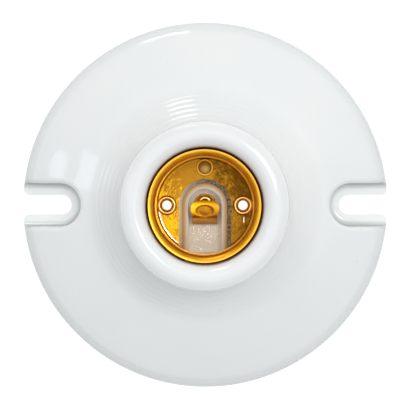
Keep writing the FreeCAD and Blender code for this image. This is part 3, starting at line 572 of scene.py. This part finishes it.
def arc(mid_r, mid_z, size, start, end, steps):
    """Points of an arc in a turned outline, from one angle to another in degrees."""
    turns = [math.radians(start + (end - start) * step / steps) for step in range(steps + 1)]
    return [(mid_r + size * math.cos(turn), mid_z + size * math.sin(turn)) for turn in turns]


def outline_mesh(name, points):
    """The outline of a turned piece, radius and height, as a chain of edges."""
    mesh = bpy.data.meshes.new(name)
    mesh.from_pydata([(r, 0.0, z) for r, z in points], [(k, k + 1) for k in range(len(points) - 1)], [])
    return mesh


# The rule turns an outline about an upright axis, and can press a round thread into it
rule, given = start_rule("turned_piece", [
    ("Steps", "Int"), ("Centre", "Vector"), ("Thread Depth", "Float"), ("Thread Pitch", "Float"),
    ("Thread Low", "Float"), ("Thread High", "Float"), ("Thread Radius", "Float"), ("Material", "Material"),
])
count = add_node(
    rule, "GeometryNodeAttributeDomainSize", {"Geometry": given["Geometry"]}, component="MESH",
).outputs[0]
sheet = add_node(
    rule, "GeometryNodeMeshGrid", {"Vertices X": given["Steps"], "Vertices Y": count},
).outputs["Mesh"]
number = add_node(rule, "GeometryNodeInputIndex", {})
row = add_node(rule, "ShaderNodeMath", {0: number, 1: count}, operation="MODULO")
column = add_node(rule, "ShaderNodeMath", {0: number, 1: count}, operation="DIVIDE")
column = add_node(rule, "ShaderNodeMath", {0: column}, operation="FLOOR")
last = add_node(rule, "ShaderNodeMath", {0: given["Steps"], 1: 1.0}, operation="SUBTRACT")
share = add_node(rule, "ShaderNodeMath", {0: column, 1: last}, operation="DIVIDE")
angle = add_node(rule, "ShaderNodeMath", {0: share, 1: 2 * math.pi}, operation="MULTIPLY")
own_place = add_node(rule, "GeometryNodeInputPosition", {})
taken = add_node(
    rule, "GeometryNodeSampleIndex", {"Geometry": given["Geometry"], "Value": own_place, "Index": row},
    data_type="FLOAT_VECTOR", domain="POINT",
)
outline_at = add_node(rule, "ShaderNodeSeparateXYZ", {0: taken})
climb = add_node(
    rule, "ShaderNodeMath", {0: outline_at.outputs["Z"], 1: given["Thread Low"]}, operation="SUBTRACT",
)
climb = add_node(rule, "ShaderNodeMath", {0: climb, 1: given["Thread Pitch"]}, operation="DIVIDE")
phase = add_node(rule, "ShaderNodeMath", {0: climb, 1: share}, operation="SUBTRACT")
phase = add_node(rule, "ShaderNodeMath", {0: phase, 1: 2 * math.pi}, operation="MULTIPLY")
ridge = add_node(rule, "ShaderNodeMath", {0: phase}, operation="COSINE")
ridge = add_node(rule, "ShaderNodeMapRange", {0: ridge, 1: -0.9, 2: 0.9, 3: 1.0, 4: 0.0})
begun = add_node(
    rule, "ShaderNodeMath", {0: outline_at.outputs["Z"], 1: given["Thread Low"]}, operation="GREATER_THAN",
)
ended = add_node(
    rule, "ShaderNodeMath", {0: outline_at.outputs["Z"], 1: given["Thread High"]}, operation="LESS_THAN",
)
on_shank = add_node(
    rule, "ShaderNodeMath", {0: outline_at.outputs["X"], 1: given["Thread Radius"], 2: 0.01 * MM},
    operation="COMPARE",
)
cut = add_node(rule, "ShaderNodeMath", {0: ridge, 1: given["Thread Depth"]}, operation="MULTIPLY")
for allowed in (begun, ended, on_shank):
    cut = add_node(rule, "ShaderNodeMath", {0: cut, 1: allowed}, operation="MULTIPLY")
reach = add_node(rule, "ShaderNodeMath", {0: outline_at.outputs["X"], 1: cut}, operation="SUBTRACT")
side = add_node(rule, "ShaderNodeMath", {0: angle}, operation="COSINE")
side = add_node(rule, "ShaderNodeMath", {0: side, 1: reach}, operation="MULTIPLY")
deep = add_node(rule, "ShaderNodeMath", {0: angle}, operation="SINE")
deep = add_node(rule, "ShaderNodeMath", {0: deep, 1: reach}, operation="MULTIPLY")
round_place = add_node(
    rule, "ShaderNodeCombineXYZ", {"X": side, "Y": deep, "Z": outline_at.outputs["Z"]},
)
wrapped = add_node(
    rule, "GeometryNodeSetPosition",
    {"Geometry": sheet, "Position": round_place, "Offset": given["Centre"]},
)
closed = add_node(rule, "GeometryNodeMergeByDistance", {"Geometry": wrapped, "Distance": 0.0005 * MM})
smooth = add_node(rule, "GeometryNodeSetShadeSmooth", {"Geometry": closed})
real = add_node(rule, "GeometryNodeRealizeInstances", {0: smooth})
coated = add_node(rule, "GeometryNodeSetMaterial", {"Geometry": real, "Material": given["Material"]})
add_node(rule, "NodeGroupOutput", {0: coated})
turned_piece = rule

# Rolled brass tube: paler and brighter than the shell, and a little blotched by handling
tube, tree = start_material("rolled_brass_tube")
place = add_node(tree, "ShaderNodeTexCoord", {})
tarnish = add_node(
    tree, "ShaderNodeTexNoise",
    {"Vector": place.outputs["Object"], "Scale": 1.0 / TUBE_TARNISH, "Detail": 3.0},
)
colour = add_node(
    tree, "ShaderNodeMix",
    {0: tarnish.outputs["Fac"], 6: linear("#E2AE50"), 7: linear("#F8DA92")}, data_type="RGBA",
).outputs[2]
roughness = add_node(tree, "ShaderNodeMapRange", {0: tarnish.outputs["Fac"], 3: 0.16, 4: 0.3})
fine = add_node(tree, "ShaderNodeBump", {"Height": tarnish.outputs["Fac"], "Distance": 0.004 * MM})
shader = add_node(
    tree, "ShaderNodeBsdfPrincipled",
    {"Base Color": colour, "Metallic": 1.0, "Roughness": roughness, "Normal": fine},
)
add_node(tree, "ShaderNodeOutputMaterial", {"Surface": shader})

# Each end is rolled out over the sheet, this high above it
tall = EYELET_TOP - EYELET_FRONT


def rolled_end(face, direction):
    """Half of an eyelet's outline, from its shank over the roll and back into the bore."""
    crown = [
        (EYELET_TUBE, 0.0),
        (EYELET_HEAD - 0.1 * MM, 0.0),
        (EYELET_HEAD, 0.12 * MM),
        (EYELET_HEAD, 0.38 * tall),
        (EYELET_HEAD - 0.06 * MM, 0.62 * tall),
        (EYELET_HEAD - 0.2 * MM, 0.85 * tall),
        (EYELET_HEAD - 0.42 * MM, 0.98 * tall),
        (EYELET_HEAD - 0.6 * MM, tall),
        (EYELET_HEAD - 0.78 * MM, 0.93 * tall),
        (EYELET_HEAD - 0.95 * MM, 0.74 * tall),
        (EYELET_HEAD - 1.1 * MM, 0.45 * tall),
        (EYELET_HEAD - 1.22 * MM, 0.1 * tall),
        (EYELET_BORE + 0.03 * MM, -0.35 * tall),
        (EYELET_BORE, -0.8 * tall),
    ]
    return [(r, face + direction * z) for r, z in crown]


front_end = rolled_end(EYELET_FRONT, 1)
back_end = rolled_end(EYELET_BACK, -1)
eyelet_outline = back_end[::-1] + front_end + [back_end[-1]]
for name, x in (("left_eyelet", -EYELET_X), ("right_eyelet", EYELET_X)):
    eyelet = follow_rule(
        "rolled_" + name, outline_mesh(name + "_outline", eyelet_outline), turned_piece,
        {
            "Steps": EYELET_STEPS + 1, "Centre": (x, 0.0, 0.0), "Thread Depth": 0.0, "Thread Pitch": MM,
            "Thread Low": 0.0, "Thread High": 0.0, "Thread Radius": 0.0, "Material": tube,
        },
    )
    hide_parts(name)
    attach(eyelet, "root")


# Centre contact and its rivet
# A strip of spring brass with a round end, riveted flat in the pocket, folded over and bent back.
# Its end is a wider oval pad with a shallow pressed dimple, which meets the lamp.

STRIP = 0.4 * MM
FOLD_Y = -3.6 * MM
FOLD_R = 1.1 * MM
BEND_R = 1.3 * MM
PAD_R = 5.0 * MM
CONTACT_TOP = 25.6 * MM
STEM_RISE_DEG = 68.0
PAD_RISE_DEG = 20.0
PAD_FALL_DEG = 24.0
STEM_HALF = 3.2 * MM
PAD_HALF = 3.65 * MM
BASE_R = 3.05 * MM
DIMPLE_Y = -1.4 * MM
DIMPLE_WIDE = 2.6 * MM
DIMPLE_LONG = 1.8 * MM
DIMPLE_DEEP = 0.32 * MM
DIMPLE_EDGE = 1.6
DIMPLE_ROWS_BEFORE_PAD = 10
PAD_EARLY = 0.3 * MM
PAD_GROW = 1.1 * MM
TIP_LONG = 2.0 * MM
TIP_POWER = 2.3
BASE_STEPS = 40
FOLD_STEPS = 20
STEM_STEPS = 16
BEND_STEPS = 12
PAD_STEPS = 44
ACROSS = 36

# The strip's middle line from its round end to its tip, as (y, z)
low = POCKET_FLOOR + STRIP / 2
line = [(BASE_R + (FOLD_Y - BASE_R) * step / BASE_STEPS, low) for step in range(BASE_STEPS + 1)]
line += arc(FOLD_Y, low + FOLD_R, FOLD_R, 270, 90 + STEM_RISE_DEG, FOLD_STEPS)[1:]
pad_mid_z = CONTACT_TOP - STRIP / 2 - PAD_R
bend_z = pad_mid_z + (PAD_R - BEND_R) * math.cos(math.radians(PAD_RISE_DEG))
stem_end_z = bend_z + BEND_R * math.cos(math.radians(STEM_RISE_DEG))
stem_y, stem_z = line[-1]
stem_end_y = stem_y + (stem_end_z - stem_z) / math.tan(math.radians(STEM_RISE_DEG))
for step in range(1, STEM_STEPS + 1):
    share = step / STEM_STEPS
    line.append((stem_y + (stem_end_y - stem_y) * share, stem_z + (stem_end_z - stem_z) * share))
bend_y = stem_end_y + BEND_R * math.sin(math.radians(STEM_RISE_DEG))
line += arc(bend_y, bend_z, BEND_R, 90 + STEM_RISE_DEG, 90 + PAD_RISE_DEG, BEND_STEPS)[1:]
pad_mid_y = bend_y + (PAD_R - BEND_R) * math.sin(math.radians(PAD_RISE_DEG))
pad_first = len(line)
line += arc(pad_mid_y, pad_mid_z, PAD_R, 90 + PAD_RISE_DEG, 90 - PAD_FALL_DEG, PAD_STEPS)[1:]
tip_y = line[-1][0]
pad_low_y = line[pad_first][0]


def strip_half(number):
    """Half the strip's width at a point of its line: round end, stem, wider pad and round tip."""
    y = line[number][0]
    if number <= BASE_STEPS:
        return min(STEM_HALF, math.sqrt(max(BASE_R ** 2 - max(y, 0.0) ** 2, (0.3 * MM) ** 2)))
    if number < pad_first - BEND_STEPS // 3:
        return STEM_HALF
    grow = min(max((y - pad_low_y + PAD_EARLY) / PAD_GROW, 0.0), 1.0)
    half = STEM_HALF + (PAD_HALF - STEM_HALF) * grow * grow * (3 - 2 * grow)
    past = min(max((y - tip_y + TIP_LONG) / TIP_LONG, 0.0), 1.0)
    return half * max((1 - past ** TIP_POWER) ** (1 / TIP_POWER), 0.02)


# The sheet's middle face: each row of corners crosses the strip at a point of the line, and the
# dimple presses the rows of the pad down along their own normal
corners = []
for number, (y, z) in enumerate(line):
    before = line[max(number - 1, 0)]
    after = line[min(number + 1, len(line) - 1)]
    run = math.dist(before, after)
    normal = ((after[1] - before[1]) / run, -(after[0] - before[0]) / run)
    half = strip_half(number)
    for step in range(ACROSS + 1):
        x = half * (2 * step / ACROSS - 1)
        press = 0.0
        if number > pad_first - DIMPLE_ROWS_BEFORE_PAD:
            inside = 1 - (x / DIMPLE_WIDE) ** 2 - ((y - DIMPLE_Y) / DIMPLE_LONG) ** 2
            inside = min(max(inside * DIMPLE_EDGE, 0.0), 1.0)
            press = DIMPLE_DEEP * inside * inside * (3 - 2 * inside)
        corners.append((x, y + normal[0] * press, z + normal[1] * press))
wide = ACROSS + 1
faces = [
    (k * wide + j, k * wide + j + 1, (k + 1) * wide + j + 1, (k + 1) * wide + j)
    for k in range(len(line) - 1) for j in range(ACROSS)
]
strip_mesh = bpy.data.meshes.new("folded_contact_strip")
strip_mesh.from_pydata(corners, [], faces)
strip_mesh.shade_smooth()
contact = bpy.data.objects.new("folded_contact_strip", strip_mesh)
bpy.context.scene.collection.objects.link(contact)
wall = contact.modifiers.new("sheet", "SOLIDIFY")
wall.thickness = STRIP
wall.offset = 0.0
eased = contact.modifiers.new("eased_edges", "BEVEL")
eased.width = 0.05 * MM
eased.segments = 2
eased.limit_method = "ANGLE"

# Spring brass straight from the roll: smooth, with fine rolling lines along the strip. It is painted
# browner the lower it lies in the fold, in blotches: a painted shade.
ROLLING_LINE = (0.25 * MM, 3.33 * MM, 3.33 * MM)
BLOTCH = 1.43 * MM
spring, tree = start_material("rolled_spring_brass")
place = add_node(tree, "ShaderNodeTexCoord", {})
spot = add_node(tree, "ShaderNodeSeparateXYZ", {0: place.outputs["Object"]})
stretch = add_node(
    tree, "ShaderNodeMapping",
    {"Vector": place.outputs["Object"], "Scale": [1.0 / size for size in ROLLING_LINE]},
)
lines = add_node(tree, "ShaderNodeTexNoise", {"Vector": stretch, "Scale": 1.0, "Detail": 3.0})
# Painted shade: brown low down on the strip, fading out towards its top
film_and_shade = add_node(
    tree, "ShaderNodeMapRange",
    {0: spot.outputs["Z"], 1: POCKET_FLOOR + 0.5 * MM, 2: CONTACT_TOP - 0.3 * MM, 3: 0.95, 4: 0.0},
    interpolation_type="SMOOTHSTEP",
)
blotch = add_node(
    tree, "ShaderNodeTexNoise", {"Vector": place.outputs["Object"], "Scale": 1.0 / BLOTCH, "Detail": 3.0},
)
cover = add_node(tree, "ShaderNodeMapRange", {0: blotch.outputs["Fac"], 1: 0.35, 2: 0.65, 3: 0.7, 4: 1.0})
film_and_shade = add_node(tree, "ShaderNodeMath", {0: film_and_shade, 1: cover}, operation="MULTIPLY")
# A dark oval is painted in the dimple, a little to +X of its middle: a painted dark reflection in its
# hollow
oval = add_node(
    tree, "ShaderNodeVectorMath",
    {
        0: place.outputs["Object"], 1: (1.0 / DIMPLE_WIDE, 1.0 / DIMPLE_LONG, 0.0),
        2: (-0.1, -DIMPLE_Y / DIMPLE_LONG, 0.0),
    },
    operation="MULTIPLY_ADD",
)
oval = add_node(tree, "ShaderNodeVectorMath", {0: oval}, operation="LENGTH").outputs["Value"]
dimple_dark_reflection = add_node(
    tree, "ShaderNodeMapRange", {0: oval, 1: 0.95, 2: 0.6, 3: 0.0, 4: 0.85},
    interpolation_type="SMOOTHSTEP",
)
dimple_dark_reflection = add_node(tree, "ShaderNodeMath", {0: dimple_dark_reflection, 1: cover}, operation="MULTIPLY")
film_and_shade = add_node(tree, "ShaderNodeMath", {0: film_and_shade, 1: dimple_dark_reflection}, operation="MAXIMUM")
# The half towards +X is painted darker and made rougher: a painted shade on that side
painted_side_shade = add_node(
    tree, "ShaderNodeMapRange", {0: spot.outputs["X"], 1: -0.5 * MM, 2: 3.5 * MM, 3: 0.0, 4: 0.5},
)
film_and_shade = add_node(tree, "ShaderNodeMath", {0: film_and_shade, 1: painted_side_shade}, operation="MAXIMUM")
colour = add_node(
    tree, "ShaderNodeMix", {0: film_and_shade, 6: linear("#E2A41E"), 7: linear("#9C6322")}, data_type="RGBA",
).outputs[2]
rough = add_node(
    tree, "ShaderNodeMath", {0: lines.outputs["Fac"], 1: 0.2, 2: 0.14}, operation="MULTIPLY_ADD",
)
roughness = add_node(tree, "ShaderNodeMath", {0: film_and_shade, 1: 0.3, 2: rough}, operation="MULTIPLY_ADD")
fine = add_node(tree, "ShaderNodeBump", {"Height": lines.outputs["Fac"], "Distance": 0.003 * MM})
shader = add_node(
    tree, "ShaderNodeBsdfPrincipled",
    {"Base Color": colour, "Metallic": 1.0, "Roughness": roughness, "Normal": fine},
)
add_node(tree, "ShaderNodeOutputMaterial", {"Surface": shader})
contact.data.materials.append(spring)
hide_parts("centre_contact")
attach(contact, "root")

RIVET_Y = 0.6 * MM
RIVET_TOP = 20.2 * MM
RIVET_LOW = 12.7 * MM
RIVET_SHANK = 1.2 * MM
RIVET_STEPS = 72
# The rivet is solid, and a ring-shaped tool set its heads, so each is dished in the middle. This is
# a head's outline from its middle to its foot: radius and height from its top, in millimetres.
half_head = [
    (0.0, -0.36), (0.62, -0.36), (0.78, -0.3), (0.9, -0.12), (1.08, -0.02), (1.3, 0.0), (1.6, -0.07),
    (1.85, -0.2), (2.05, -0.38), (2.17, -0.58), (2.2, -0.74), (2.17, -0.8),
]
rivet_outline = [(r * MM, RIVET_LOW - z * MM) for r, z in half_head]
rivet_outline += [(RIVET_SHANK, EYELET_BACK), (RIVET_SHANK, POCKET_FLOOR + STRIP)]
rivet_outline += [(r * MM, RIVET_TOP + z * MM) for r, z in reversed(half_head)]
rivet = follow_rule(
    "contact_rivet_set", outline_mesh("rivet_outline", rivet_outline), turned_piece,
    {
        "Steps": RIVET_STEPS + 1, "Centre": (0.0, RIVET_Y, 0.0), "Thread Depth": 0.0, "Thread Pitch": MM,
        "Thread Low": 0.0, "Thread High": 0.0, "Thread Radius": 0.0, "Material": tube,
    },
)
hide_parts("contact_rivet")
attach(rivet, "root")


# Terminal plates and clamp washers on the back
# Blanked from half-hard brass plate, so their faces show the mill's long grain under a light
# tarnish. The eyelets and the rivet hold the plates, and the screws hold the washers.

MILL_GRAIN = (2.86 * MM, 0.2 * MM, 1.11 * MM)
PLATE_TARNISH = 2.38 * MM
plate_brass, tree = start_material("blanked_brass_plate")
place = add_node(tree, "ShaderNodeTexCoord", {})
stretch = add_node(
    tree, "ShaderNodeMapping",
    {"Vector": place.outputs["Object"], "Scale": [1.0 / size for size in MILL_GRAIN]},
)
mill = add_node(
    tree, "ShaderNodeTexNoise", {"Vector": stretch, "Scale": 1.0, "Detail": 4.0, "Roughness": 0.6},
)
tarnish = add_node(
    tree, "ShaderNodeTexNoise",
    {"Vector": place.outputs["Object"], "Scale": 1.0 / PLATE_TARNISH, "Detail": 4.0},
)
tone = add_node(
    tree, "ShaderNodeMath", {0: mill.outputs["Fac"], 1: tarnish.outputs["Fac"]}, operation="MULTIPLY",
)
tone = add_node(tree, "ShaderNodeMapRange", {0: tone, 1: 0.12, 2: 0.42})
colour = add_node(
    tree, "ShaderNodeMix", {0: tone, 6: linear("#A87A33"), 7: linear("#DDB462")}, data_type="RGBA",
).outputs[2]
roughness = add_node(tree, "ShaderNodeMapRange", {0: mill.outputs["Fac"], 3: 0.28, 4: 0.46})
fine = add_node(tree, "ShaderNodeBump", {"Height": mill.outputs["Fac"], "Distance": 0.006 * MM})
shader = add_node(
    tree, "ShaderNodeBsdfPrincipled",
    {"Base Color": colour, "Metallic": 1.0, "Roughness": roughness, "Normal": fine},
)
add_node(tree, "ShaderNodeOutputMaterial", {"Surface": shader})
for name in ("neutral_terminal_plate", "live_terminal_plate", "neutral_clamp_washer", "live_clamp_washer"):
    nodes[name].material_slots[0].material = plate_brass


# Terminal screws
# M3.5 screws of zinc-plated steel with a slotted cheese head, their threads rolled at a pitch of
# 0.6 mm. The neutral one comes up through the shell's floor, so its end shows in the well.

SCREW_R = 1.675 * MM
HEAD_R = 3.0 * MM
HEAD_LOW = 10.3 * MM
HEAD_TOP = 12.5 * MM
DRIVER_SLOT = (7.0 * MM, 0.9 * MM, 2.2 * MM)
THREAD_PITCH = 0.6 * MM
THREAD_DEEP = 0.3 * MM
SCREW_STEPS = 48
LIVE_SCREW_Y = -11.0 * MM
ZINC_GRAIN = 0.385 * MM
ZINC_FILM = 0.91 * MM

# Zinc-plated steel whose plating has yellowed: dull, with small crystals in it
zinc, tree = start_material("zinc_plated_steel")
place = add_node(tree, "ShaderNodeTexCoord", {})
spangle = add_node(
    tree, "ShaderNodeTexVoronoi", {"Vector": place.outputs["Object"], "Scale": 1.0 / ZINC_GRAIN},
)
film_and_shade = add_node(
    tree, "ShaderNodeTexNoise",
    {"Vector": place.outputs["Object"], "Scale": 1.0 / ZINC_FILM, "Detail": 4.0},
)
tone = add_node(
    tree, "ShaderNodeMath", {0: spangle.outputs["Distance"], 1: film_and_shade.outputs["Fac"]},
    operation="MULTIPLY",
)
colour = add_node(
    tree, "ShaderNodeMix", {0: tone, 6: linear("#A5833F"), 7: linear("#C8A766")}, data_type="RGBA",
).outputs[2]
roughness = add_node(tree, "ShaderNodeMapRange", {0: film_and_shade.outputs["Fac"], 3: 0.3, 4: 0.5})
fine = add_node(tree, "ShaderNodeBump", {"Height": tone, "Distance": 0.012 * MM})
shader = add_node(
    tree, "ShaderNodeBsdfPrincipled",
    {"Base Color": colour, "Metallic": 1.0, "Roughness": roughness, "Normal": fine},
)
add_node(tree, "ShaderNodeOutputMaterial", {"Surface": shader})

# The rule saws the driver slot across the head
rule, given = start_rule("sawn_slot", [
    ("Slot Size", "Vector"), ("Slot Centre", "Vector"), ("Material", "Material"),
])
saw = add_node(rule, "GeometryNodeMeshCube", {"Size": given["Slot Size"]})
saw = add_node(rule, "GeometryNodeTransform", {"Geometry": saw, "Translation": given["Slot Centre"]})
sawn = add_node(
    rule, "GeometryNodeMeshBoolean", {"Mesh 1": given["Geometry"], "Mesh 2": saw}, operation="DIFFERENCE",
)
real = add_node(rule, "GeometryNodeRealizeInstances", {0: sawn})
coated = add_node(rule, "GeometryNodeSetMaterial", {"Geometry": real, "Material": given["Material"]})
add_node(rule, "NodeGroupOutput", {0: coated})
sawn_slot = rule

for name, body, y, tip in (
    ("neutral_terminal_screw", "neutral_screw", COLLAR_Y, 21.95 * MM),
    ("live_terminal_screw", "live_screw", LIVE_SCREW_Y, 16.7 * MM),
):
    shank_low = HEAD_TOP + 0.15 * MM
    shank_top = tip - 0.45 * MM
    levels = round((shank_top - shank_low) / (THREAD_PITCH / 8))
    outline = [
        (0.0, HEAD_LOW),
        (HEAD_R - 0.35 * MM, HEAD_LOW),
        (HEAD_R - 0.12 * MM, HEAD_LOW + 0.08 * MM),
        (HEAD_R, HEAD_LOW + 0.3 * MM),
        (HEAD_R, HEAD_TOP - 0.1 * MM),
        (HEAD_R - 0.1 * MM, HEAD_TOP),
        (SCREW_R + 0.1 * MM, HEAD_TOP),
        (SCREW_R - 0.02 * MM, HEAD_TOP + 0.05 * MM),
    ]
    outline += [(SCREW_R, shank_low + (shank_top - shank_low) * k / levels) for k in range(levels + 1)]
    outline += [(SCREW_R - 0.02 * MM, tip - 0.05 * MM), (SCREW_R - 0.08 * MM, tip), (0.0, tip)]
    turned_screw = follow_rule(
        name + "_turned", outline_mesh(name + "_outline", outline), turned_piece,
        {
            "Steps": SCREW_STEPS + 1, "Centre": (0.0, y, 0.0),
            "Thread Depth": THREAD_DEEP, "Thread Pitch": THREAD_PITCH,
            "Thread Low": shank_low, "Thread High": shank_top, "Thread Radius": SCREW_R, "Material": zinc,
        },
    )
    screw = follow_rule(
        "rolled_" + name, turned_screw.data, sawn_slot,
        {"Slot Size": DRIVER_SLOT, "Slot Centre": (0.0, y, HEAD_LOW), "Material": zinc},
    )
    bpy.data.objects.remove(turned_screw)
    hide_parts(name)
    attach(screw, body)


# Ground, light and camera
# A white table that is lit so brightly that no shadow shows on it, a room with dim walls and a
# bright ceiling, and small soft lights where the glaze in the photograph mirrors them.

GROUND_HALF = 1.5
GROUND_Z = -0.02 * MM
ground_mesh = bpy.data.meshes.new("ground")
ground_mesh.from_pydata(
    [(x * GROUND_HALF, y * GROUND_HALF, GROUND_Z) for x, y in ((-1, -1), (1, -1), (1, 1), (-1, 1))],
    [], [(0, 1, 2, 3)],
)
ground = bpy.data.objects.new("ground", ground_mesh)
bpy.context.scene.collection.objects.link(ground)
table, tree = start_material("lit_white_table")
shader = add_node(
    tree, "ShaderNodeBsdfPrincipled",
    {
        "Base Color": linear("#595959"), "Roughness": 0.9, "Emission Color": linear("#FFFFFF"),
        "Emission Strength": 0.97,
    },
)
add_node(tree, "ShaderNodeOutputMaterial", {"Surface": shader})
ground_mesh.materials.append(table)

# The room as a glow that changes with the height and the side that it comes from
room = bpy.data.worlds.new("white_room")
room.use_nodes = True
tree = room.node_tree
tree.nodes.clear()
where = add_node(tree, "ShaderNodeTexCoord", {})
way = add_node(tree, "ShaderNodeSeparateXYZ", {0: where.outputs["Generated"]})
# The side towards +X and +Y is the brighter one
lean = add_node(
    tree, "ShaderNodeVectorMath", {0: where.outputs["Generated"], 1: (0.28, 0.18, 0.0)},
    operation="DOT_PRODUCT",
).outputs["Value"]
walls = add_node(
    tree, "ShaderNodeMapRange", {0: way.outputs["Z"], 1: 0.08, 2: 0.55, 3: 0.26, 4: 0.5},
    interpolation_type="SMOOTHSTEP",
)
above = add_node(
    tree, "ShaderNodeMapRange", {0: way.outputs["Z"], 1: 0.80, 2: 0.96, 3: 0.0, 4: 1.5},
    interpolation_type="SMOOTHSTEP",
)
above = add_node(tree, "ShaderNodeMath", {0: above, 1: walls}, operation="ADD")
# The room is as bright as its floor where the two meet, so that no dark edge shows there
far_off = add_node(
    tree, "ShaderNodeMapRange", {0: way.outputs["Z"], 1: 0.05, 2: 0.08, 3: 1.0, 4: 0.0},
    interpolation_type="SMOOTHSTEP",
)
above = add_node(tree, "ShaderNodeMath", {0: above, 1: far_off}, operation="MAXIMUM")
glow = add_node(tree, "ShaderNodeMath", {0: lean, 1: 1.0}, operation="ADD")
glow = add_node(tree, "ShaderNodeMath", {0: glow, 1: above}, operation="MULTIPLY")
sky = add_node(tree, "ShaderNodeBackground", {"Color": linear("#F8FBFD"), "Strength": glow})
add_node(tree, "ShaderNodeOutputWorld", {"Surface": sky})
bpy.context.scene.world = room

# Each light stands at the same distance from this point and faces it. The table gives its turn and
# lift in degrees, its width and height in metres, its glow and its colour.
AIM = (0.0, 0.0, 0.012)
LIGHT_AWAY = 1.0
for name, turn, lift, wide, high, glow, tint in (
    ("upper_softbox", 104.0, 26.5, 0.26, 0.24, 6.0, "#FFFBF2"),
    ("left_high_pane", 164.5, 55.5, 0.17, 0.15, 2.4, "#DDEAFF"),
    ("left_low_pane", 165.7, 42.3, 0.13, 0.12, 2.4, "#DDEAFF"),
    ("right_panel", 33.0, 72.0, 0.20, 0.20, 8.0, "#FFFFFF"),
):
    lamp = bpy.data.lights.new(name, "AREA")
    lamp.shape = "RECTANGLE"
    lamp.size = wide
    lamp.size_y = high
    lamp.energy = glow * math.pi * wide * high
    lamp.color = linear(tint)[:3]
    light = bpy.data.objects.new(name, lamp)
    bpy.context.scene.collection.objects.link(light)
    round_by = math.radians(turn)
    up_by = math.radians(lift)
    light.location = (
        AIM[0] + LIGHT_AWAY * math.cos(up_by) * math.cos(round_by),
        AIM[1] + LIGHT_AWAY * math.cos(up_by) * math.sin(round_by),
        AIM[2] + LIGHT_AWAY * math.sin(up_by),
    )
    light.rotation_euler = (math.pi / 2 - up_by, 0.0, round_by + math.pi / 2)

# The camera looks straight down from less than half a metre, so the well shows its depth
lens = bpy.data.cameras.new("camera")
lens.lens = 141.2
lens.sensor_width = 36.0
lens.shift_x = -0.014
lens.shift_y = -0.0436
lens.clip_start = 0.01
lens.clip_end = 10.0
lens.dof.use_dof = False
camera = bpy.data.objects.new("camera", lens)
camera.location = (0.0023, 0.004, 0.443)
bpy.context.scene.collection.objects.link(camera)
bpy.context.scene.camera = camera
bpy.context.scene.view_settings.view_transform = "Standard"
